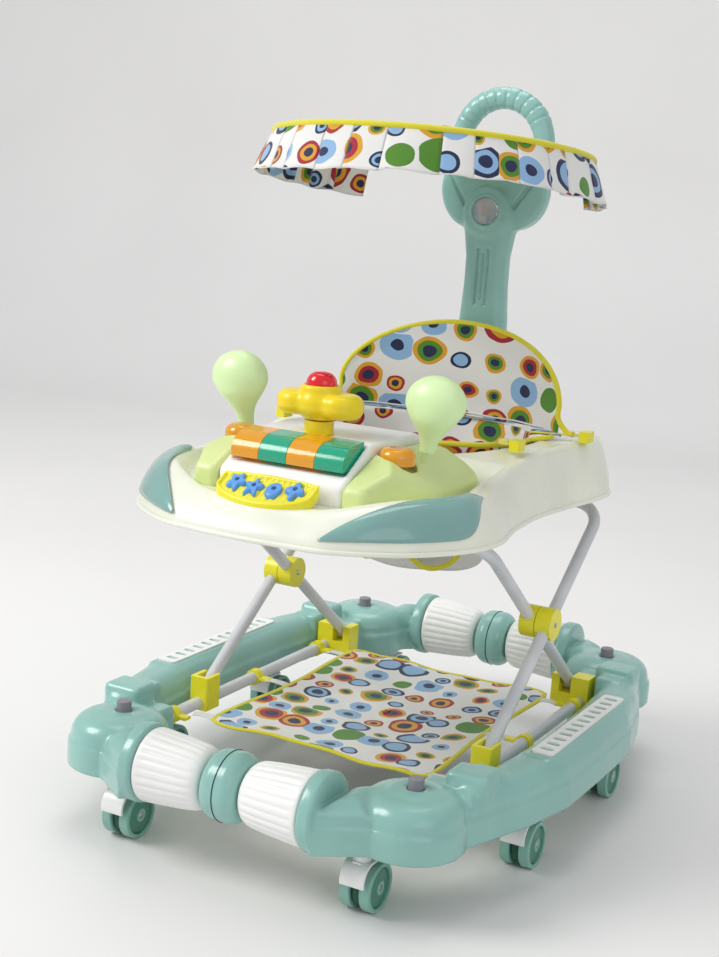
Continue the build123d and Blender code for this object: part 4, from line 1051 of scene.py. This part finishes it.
def seat_back():
    rows, columns = 44, 96
    verts, uv = [], []
    for i in range(rows):
        t = i / (rows - 1)
        for k in range(columns):
            a = pi * (k / (columns - 1) - 0.5)
            x = BACK_HALF * sin(a)
            top = arch_height(x)
            z = BACK_FOOT + (top - BACK_FOOT) * t
            edge = min(1.0, (1 - t) * 5) * min(1.0, cos(a) * 3)
            puff = 2.6 * edge * sin(pi * min(1, t * 1.25))
            puff += 1.1 * sin(x / 17.0 + 2.2 * sin(z / 29.0)) * (1 - t) ** 2 * edge
            puff += 0.7 * sin(z / 12.0 + x / 26.0) * edge
            along = asin(x / RING_A) * (RING_A + RING_B) / 2
            verts.append(back_point(x, z, -puff))
            uv.append((along, z))
    panel = add_piece("seat_back_print", verts, grid_faces(rows, columns), PRINT, "tray",
                      "printed_fabric", uv=uv)
    modify(panel, "SOLIDIFY", thickness=0.0045, offset=0)
    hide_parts("seat")
    # binding over the arch and down to the clips on both sides
    path = [(-189, 116, 486), (-178, 118, 488)]
    for k in range(61):
        a = pi * (k / 60 - 0.5)
        x = BACK_HALF * sin(a)
        path.append(back_point(x, arch_height(x) if 0 < k < 60 else BACK_SPRING - 12, 0.5))
    path += [(178, 118, 488), (189, 116, 486)]
    piping = add_tube("seat_back_piping", smooth_path(path, 3), 3.6, BINDING, "tray", "printed_fabric",
                      around=10)
    seam = add_tube("seat_fold_seam", [back_point(x, BACK_FOOT + 3 + 0.5 * sin(x / 11.0), -2.5)
                                       for x in np.linspace(-150, 150, 70)], 1.2, LINING, "tray",
                    "printed_fabric", around=8)


def sling_radii(share):
    """Half width, half depth and fullness of the sling's wall, share 0 at its top and 1 at its foot."""
    grow = sin(pi * share)
    return (RIM_A + (HEM_A - RIM_A) * share + 5 * grow, RIM_B + (HEM_B - RIM_B) * share + 4 * grow,
            grow)


def sling_point(angle, t):
    """Sling: lip at the rear, tapering wall, rounded bottom; t is 0 at the rim, 1 at the centre."""
    c, s = cos(angle), sin(angle)
    lip, wall = 0.12, 0.72
    crease = 1.4 * sin(9 * angle + 1.7 * sin(3 * angle)) + 0.8 * sin(17 * angle + 4 * t)
    rear = float(ramp_between(s, 0.12, 0.42))
    if t < lip:
        share = t / lip
        w = rear * (1 - share) ** 1.4
        x = RIM_A * c + w * (RING_A - 3 - RIM_A) * c
        y = OPEN_Y + RIM_B * s + w * (RING_B - 3 - RIM_B) * s
        rise = 9.0 * rear
        return x, y, 475.5 + rise - (2.0 + 0.4 * rise) * share
    if t < wall:
        share = (t - lip) / (wall - lip)
        z = 473.5 + 6.5 * rear * (1 - share)
        z += (HEM_Z + 16 - 473.5) * share
        a, b, grow = sling_radii(share)
        return (a + crease * grow) * c, OPEN_Y + 6 * share + (b + crease * grow) * s, z
    share = (t - wall) / (1 - wall)
    r = cos(share * pi / 2) ** 0.8
    z = HEM_Z + 16 - 16 * sin(share * pi / 2) ** 0.7 + 0.8 * sin(5 * angle) * r
    return HEM_A * c * r, OPEN_Y + 6 + HEM_B * s * r, z


LEG_X, LEG_Z, LEG_A, LEG_B = 50.0, 348.0, 36.0, 46.0


def wall_at(x, z):
    """Front wall's y at a given x and height."""
    share = min(1.0, max(0.0, (480.0 - z) / (480.0 - HEM_Z - 16)))
    a, b, _ = sling_radii(share)
    return OPEN_Y + 6 * share - b * sqrt(max(0.0, 1 - (x / a) ** 2))


def seat_sling():
    rows, columns = 84, 200
    verts, uv = [], []
    for i in range(rows):
        t = min(0.995, i / (rows - 1))
        for k in range(columns):
            angle = 2 * pi * k / columns
            x, y, z = sling_point(angle, t)
            verts.append([x, y, z])
            turn = angle - (pi / 2 if angle < 3 * pi / 2 else 5 * pi / 2)
            uv.append((turn * 105.0, t * 300.0))
    inside = []
    for x, y, z in verts:
        front = y < OPEN_Y - 10 and z > HEM_Z + 8
        inside.append(hypot((abs(x) - LEG_X) / LEG_A, (z - LEG_Z) / LEG_B) if front else 9.0)
    faces = [f for f in grid_faces(rows, columns, wrap=True) if max(inside[i] for i in f) >= 1]
    used = {i for f in faces for i in f}
    for i in used:
        if inside[i] < 1:
            x, y, z = verts[i]
            q = max(inside[i], 0.05)
            side = 1 if x > 0 else -1
            nx = side * (LEG_X + (abs(x) - LEG_X) / q)
            nz = LEG_Z + (z - LEG_Z) / q
            verts[i] = [nx, wall_at(nx, nz), nz]
    sling = add_piece("seat_sling", verts, faces, PRINT, "tray", "printed_fabric", uv=uv)
    sling.data.materials.append(LINING)
    for polygon in sling.data.polygons:
        polygon.material_index = int(polygon.center.z < 0.372)
    modify(sling, "SOLIDIFY", thickness=0.0018, offset=0)
    for side, side_name in SIDES:
        loop = []
        for k in range(64):
            a = 2 * pi * k / 64
            x, z = side * (LEG_X + LEG_A * cos(a)), LEG_Z + LEG_B * sin(a)
            loop.append((x, wall_at(x, z) - 0.6, z))
        add_tube(f"leg_hole_piping_{side_name}", loop, 3.4, BINDING, "tray",
                              "printed_fabric", closed=True, around=10)
    rim = [sling_point(2 * pi * k / 160, 0.0) for k in range(160)]
    rim = [(x, y, z + 1.0) for x, y, z in rim if y < 96]
    start = max(range(len(rim)),
                key=lambda i: hypot(rim[i][0] - rim[i - 1][0], rim[i][1] - rim[i - 1][1]))
    rim = rim[start:] + rim[:start]
    add_tube("seat_rim_piping", rim, 3.4, BINDING, "tray", "printed_fabric", around=10)
    for side, side_name in SIDES:
        for number, (x, y) in enumerate(((168, -22), (206, 118))):
            inner = (side * 132, 22 if number == 0 else 108, 483)
            path = smooth_path([inner, (side * (x - 18), y, 485), (side * (x - 6), y, 485.5)], 6)
            add_tube(f"clip_strap_{side_name}_{number}", path, 7.0, BINDING, "tray",
                                  "printed_fabric", around=10, flat=0.16)


seat_back()
seat_sling()


# ==== canopy ========================================================================================
CANOPY_Y, CANOPY_Z, CANOPY_TILT = 25.0, 845.0, radians(5.7)
CANOPY_A, CANOPY_B = 205.0, 182.0


def canopy_point(u, v, w):
    """From the canopy's own plane (u across, v to the rear, w up) to the shared frame."""
    c, s = cos(CANOPY_TILT), sin(CANOPY_TILT)
    return u, CANOPY_Y + v * c + w * s, CANOPY_Z - v * s + w * c


def canopy_cover():
    rows, columns = 30, 120
    verts, uv = [canopy_point(0, 0, -4.6)], [(0, 0)]
    for i in range(1, rows + 1):
        for k in range(columns):
            a = 2 * pi * k / columns
            r = i / rows
            u, v = (CANOPY_A + 0.5) * r * cos(a), (CANOPY_B + 0.5) * r * sin(a)
            sag = 2.2 * (1 - r * r) - 0.8 * r ** 3 * sin(22 * a + sin(5 * a))
            sag += 0.6 * sin(u / 23.0) * sin(v / 31.0)
            verts.append(canopy_point(u, v, -2.4 - sag))
            uv.append((u, v))
    faces = [(0, 1 + k, 1 + (k + 1) % columns) for k in range(columns)]
    faces += [tuple(1 + i for i in f) for f in grid_faces(rows, columns, wrap=True)]
    cover = add_piece("canopy_cover", verts, faces, PRINT, "canopy", "printed_fabric", uv=uv)
    modify(cover, "SOLIDIFY", thickness=0.0012, offset=0)
    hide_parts("canopy_fabric")
    edge = [canopy_point((CANOPY_A + 0.5) * cos(a), (CANOPY_B + 0.5) * sin(a), -5.4)
            for a in np.linspace(0, 2 * pi, 180, endpoint=False)]
    band = add_tube("canopy_binding", edge, 4.6, BINDING, "canopy", "printed_fabric", closed=True,
                    around=12, flat=0.95)
    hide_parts("canopy_hoop")
    for side, side_name in SIDES:
        arm = smooth_path([(side * 40, 202, 822), (side * 26, 207, 822), (side * 18, 214, 824),
                           (side * 16, 224, 826)], 6)
        add_tube(f"canopy_arm_{side_name}", arm, 3.4, YELLOW, "canopy", "yellow_plastic", around=12)
    add_tube("canopy_hinge_pin", [(x, PIN_Y, PIN_Z) for x in (-19.5, -13, 13, 19.5)], 4.2, YELLOW,
             "canopy", "yellow_plastic", around=20)


def canopy_frill():
    """Box-pleated frill sewn into the binding, open behind the handle."""
    rows, open_half = 22, 0.83
    mean = (CANOPY_A + CANOPY_B) / 2
    total = (2 * pi - 2 * open_half) * mean
    # one list entry per column: place along the hem, depth of the fold, length of cloth used
    columns, place, used, number = [], 0.0, 0.0, 0
    while place < total - 4:
        pitch = 44.0 + 13.0 * sin(2.4 * number + 0.7) + 5.0 * sin(5.3 * number)
        pitch = min(pitch, total - place)
        for k in range(13):
            columns.append((place + pitch * k / 13, 0.35 * sin(pi * k / 13) * 3.2,
                            used + pitch * k / 13))
        used += pitch
        fold = 8.0 + 3.0 * sin(3.1 * number)
        tuck = ((0.0, 0.0), (0.5, -1.3), (1.0, -1.6), (1.0, -2.6), (0.5, -3.2), (0.0, -2.4))
        for k, (back, depth) in enumerate(tuck):
            columns.append((place + pitch - back * fold, depth, used + 2.2 * fold * k / 6))
        used += 2.2 * fold
        place += pitch
        number += 1
    verts, uv = [], []
    for s_along, depth, cloth in columns:
        a = pi / 2 + open_half + s_along / mean
        wave = sin(s_along / 31.0 + 1.6 * sin(s_along / 97.0)) + 0.4 * sin(s_along / 11.0)
        length = 52.0 + 2.2 * sin(3 * a + 1.0) + 1.0 * sin(s_along / 9.0)
        for i in range(rows):
            t = i / (rows - 1)
            out = 1.5 + 19.0 * t ** 0.85 + depth * (0.5 + 1.3 * t) + 2.6 * t * wave
            u, v = (CANOPY_A + out) * cos(a), (CANOPY_B + out) * sin(a)
            verts.append(canopy_point(u, v, -6.5 - length * t + 0.5 * t * wave))
            uv.append((cloth, -length * t * 1.05))
    faces = [(k * rows + i, (k + 1) * rows + i, (k + 1) * rows + i + 1, k * rows + i + 1)
             for k in range(len(columns) - 1) for i in range(rows - 1)]
    frill = add_piece("canopy_frill", verts, faces, PRINT, "canopy", "printed_fabric", uv=uv)
    hem = [verts[k * rows + rows - 1] for k in range(len(columns))]
    hem = add_tube("canopy_hem", hem, 0.8, LINING, "canopy", "printed_fabric", around=6)
    modify(frill, "SOLIDIFY", thickness=0.0008, offset=0)


canopy_cover()
canopy_frill()
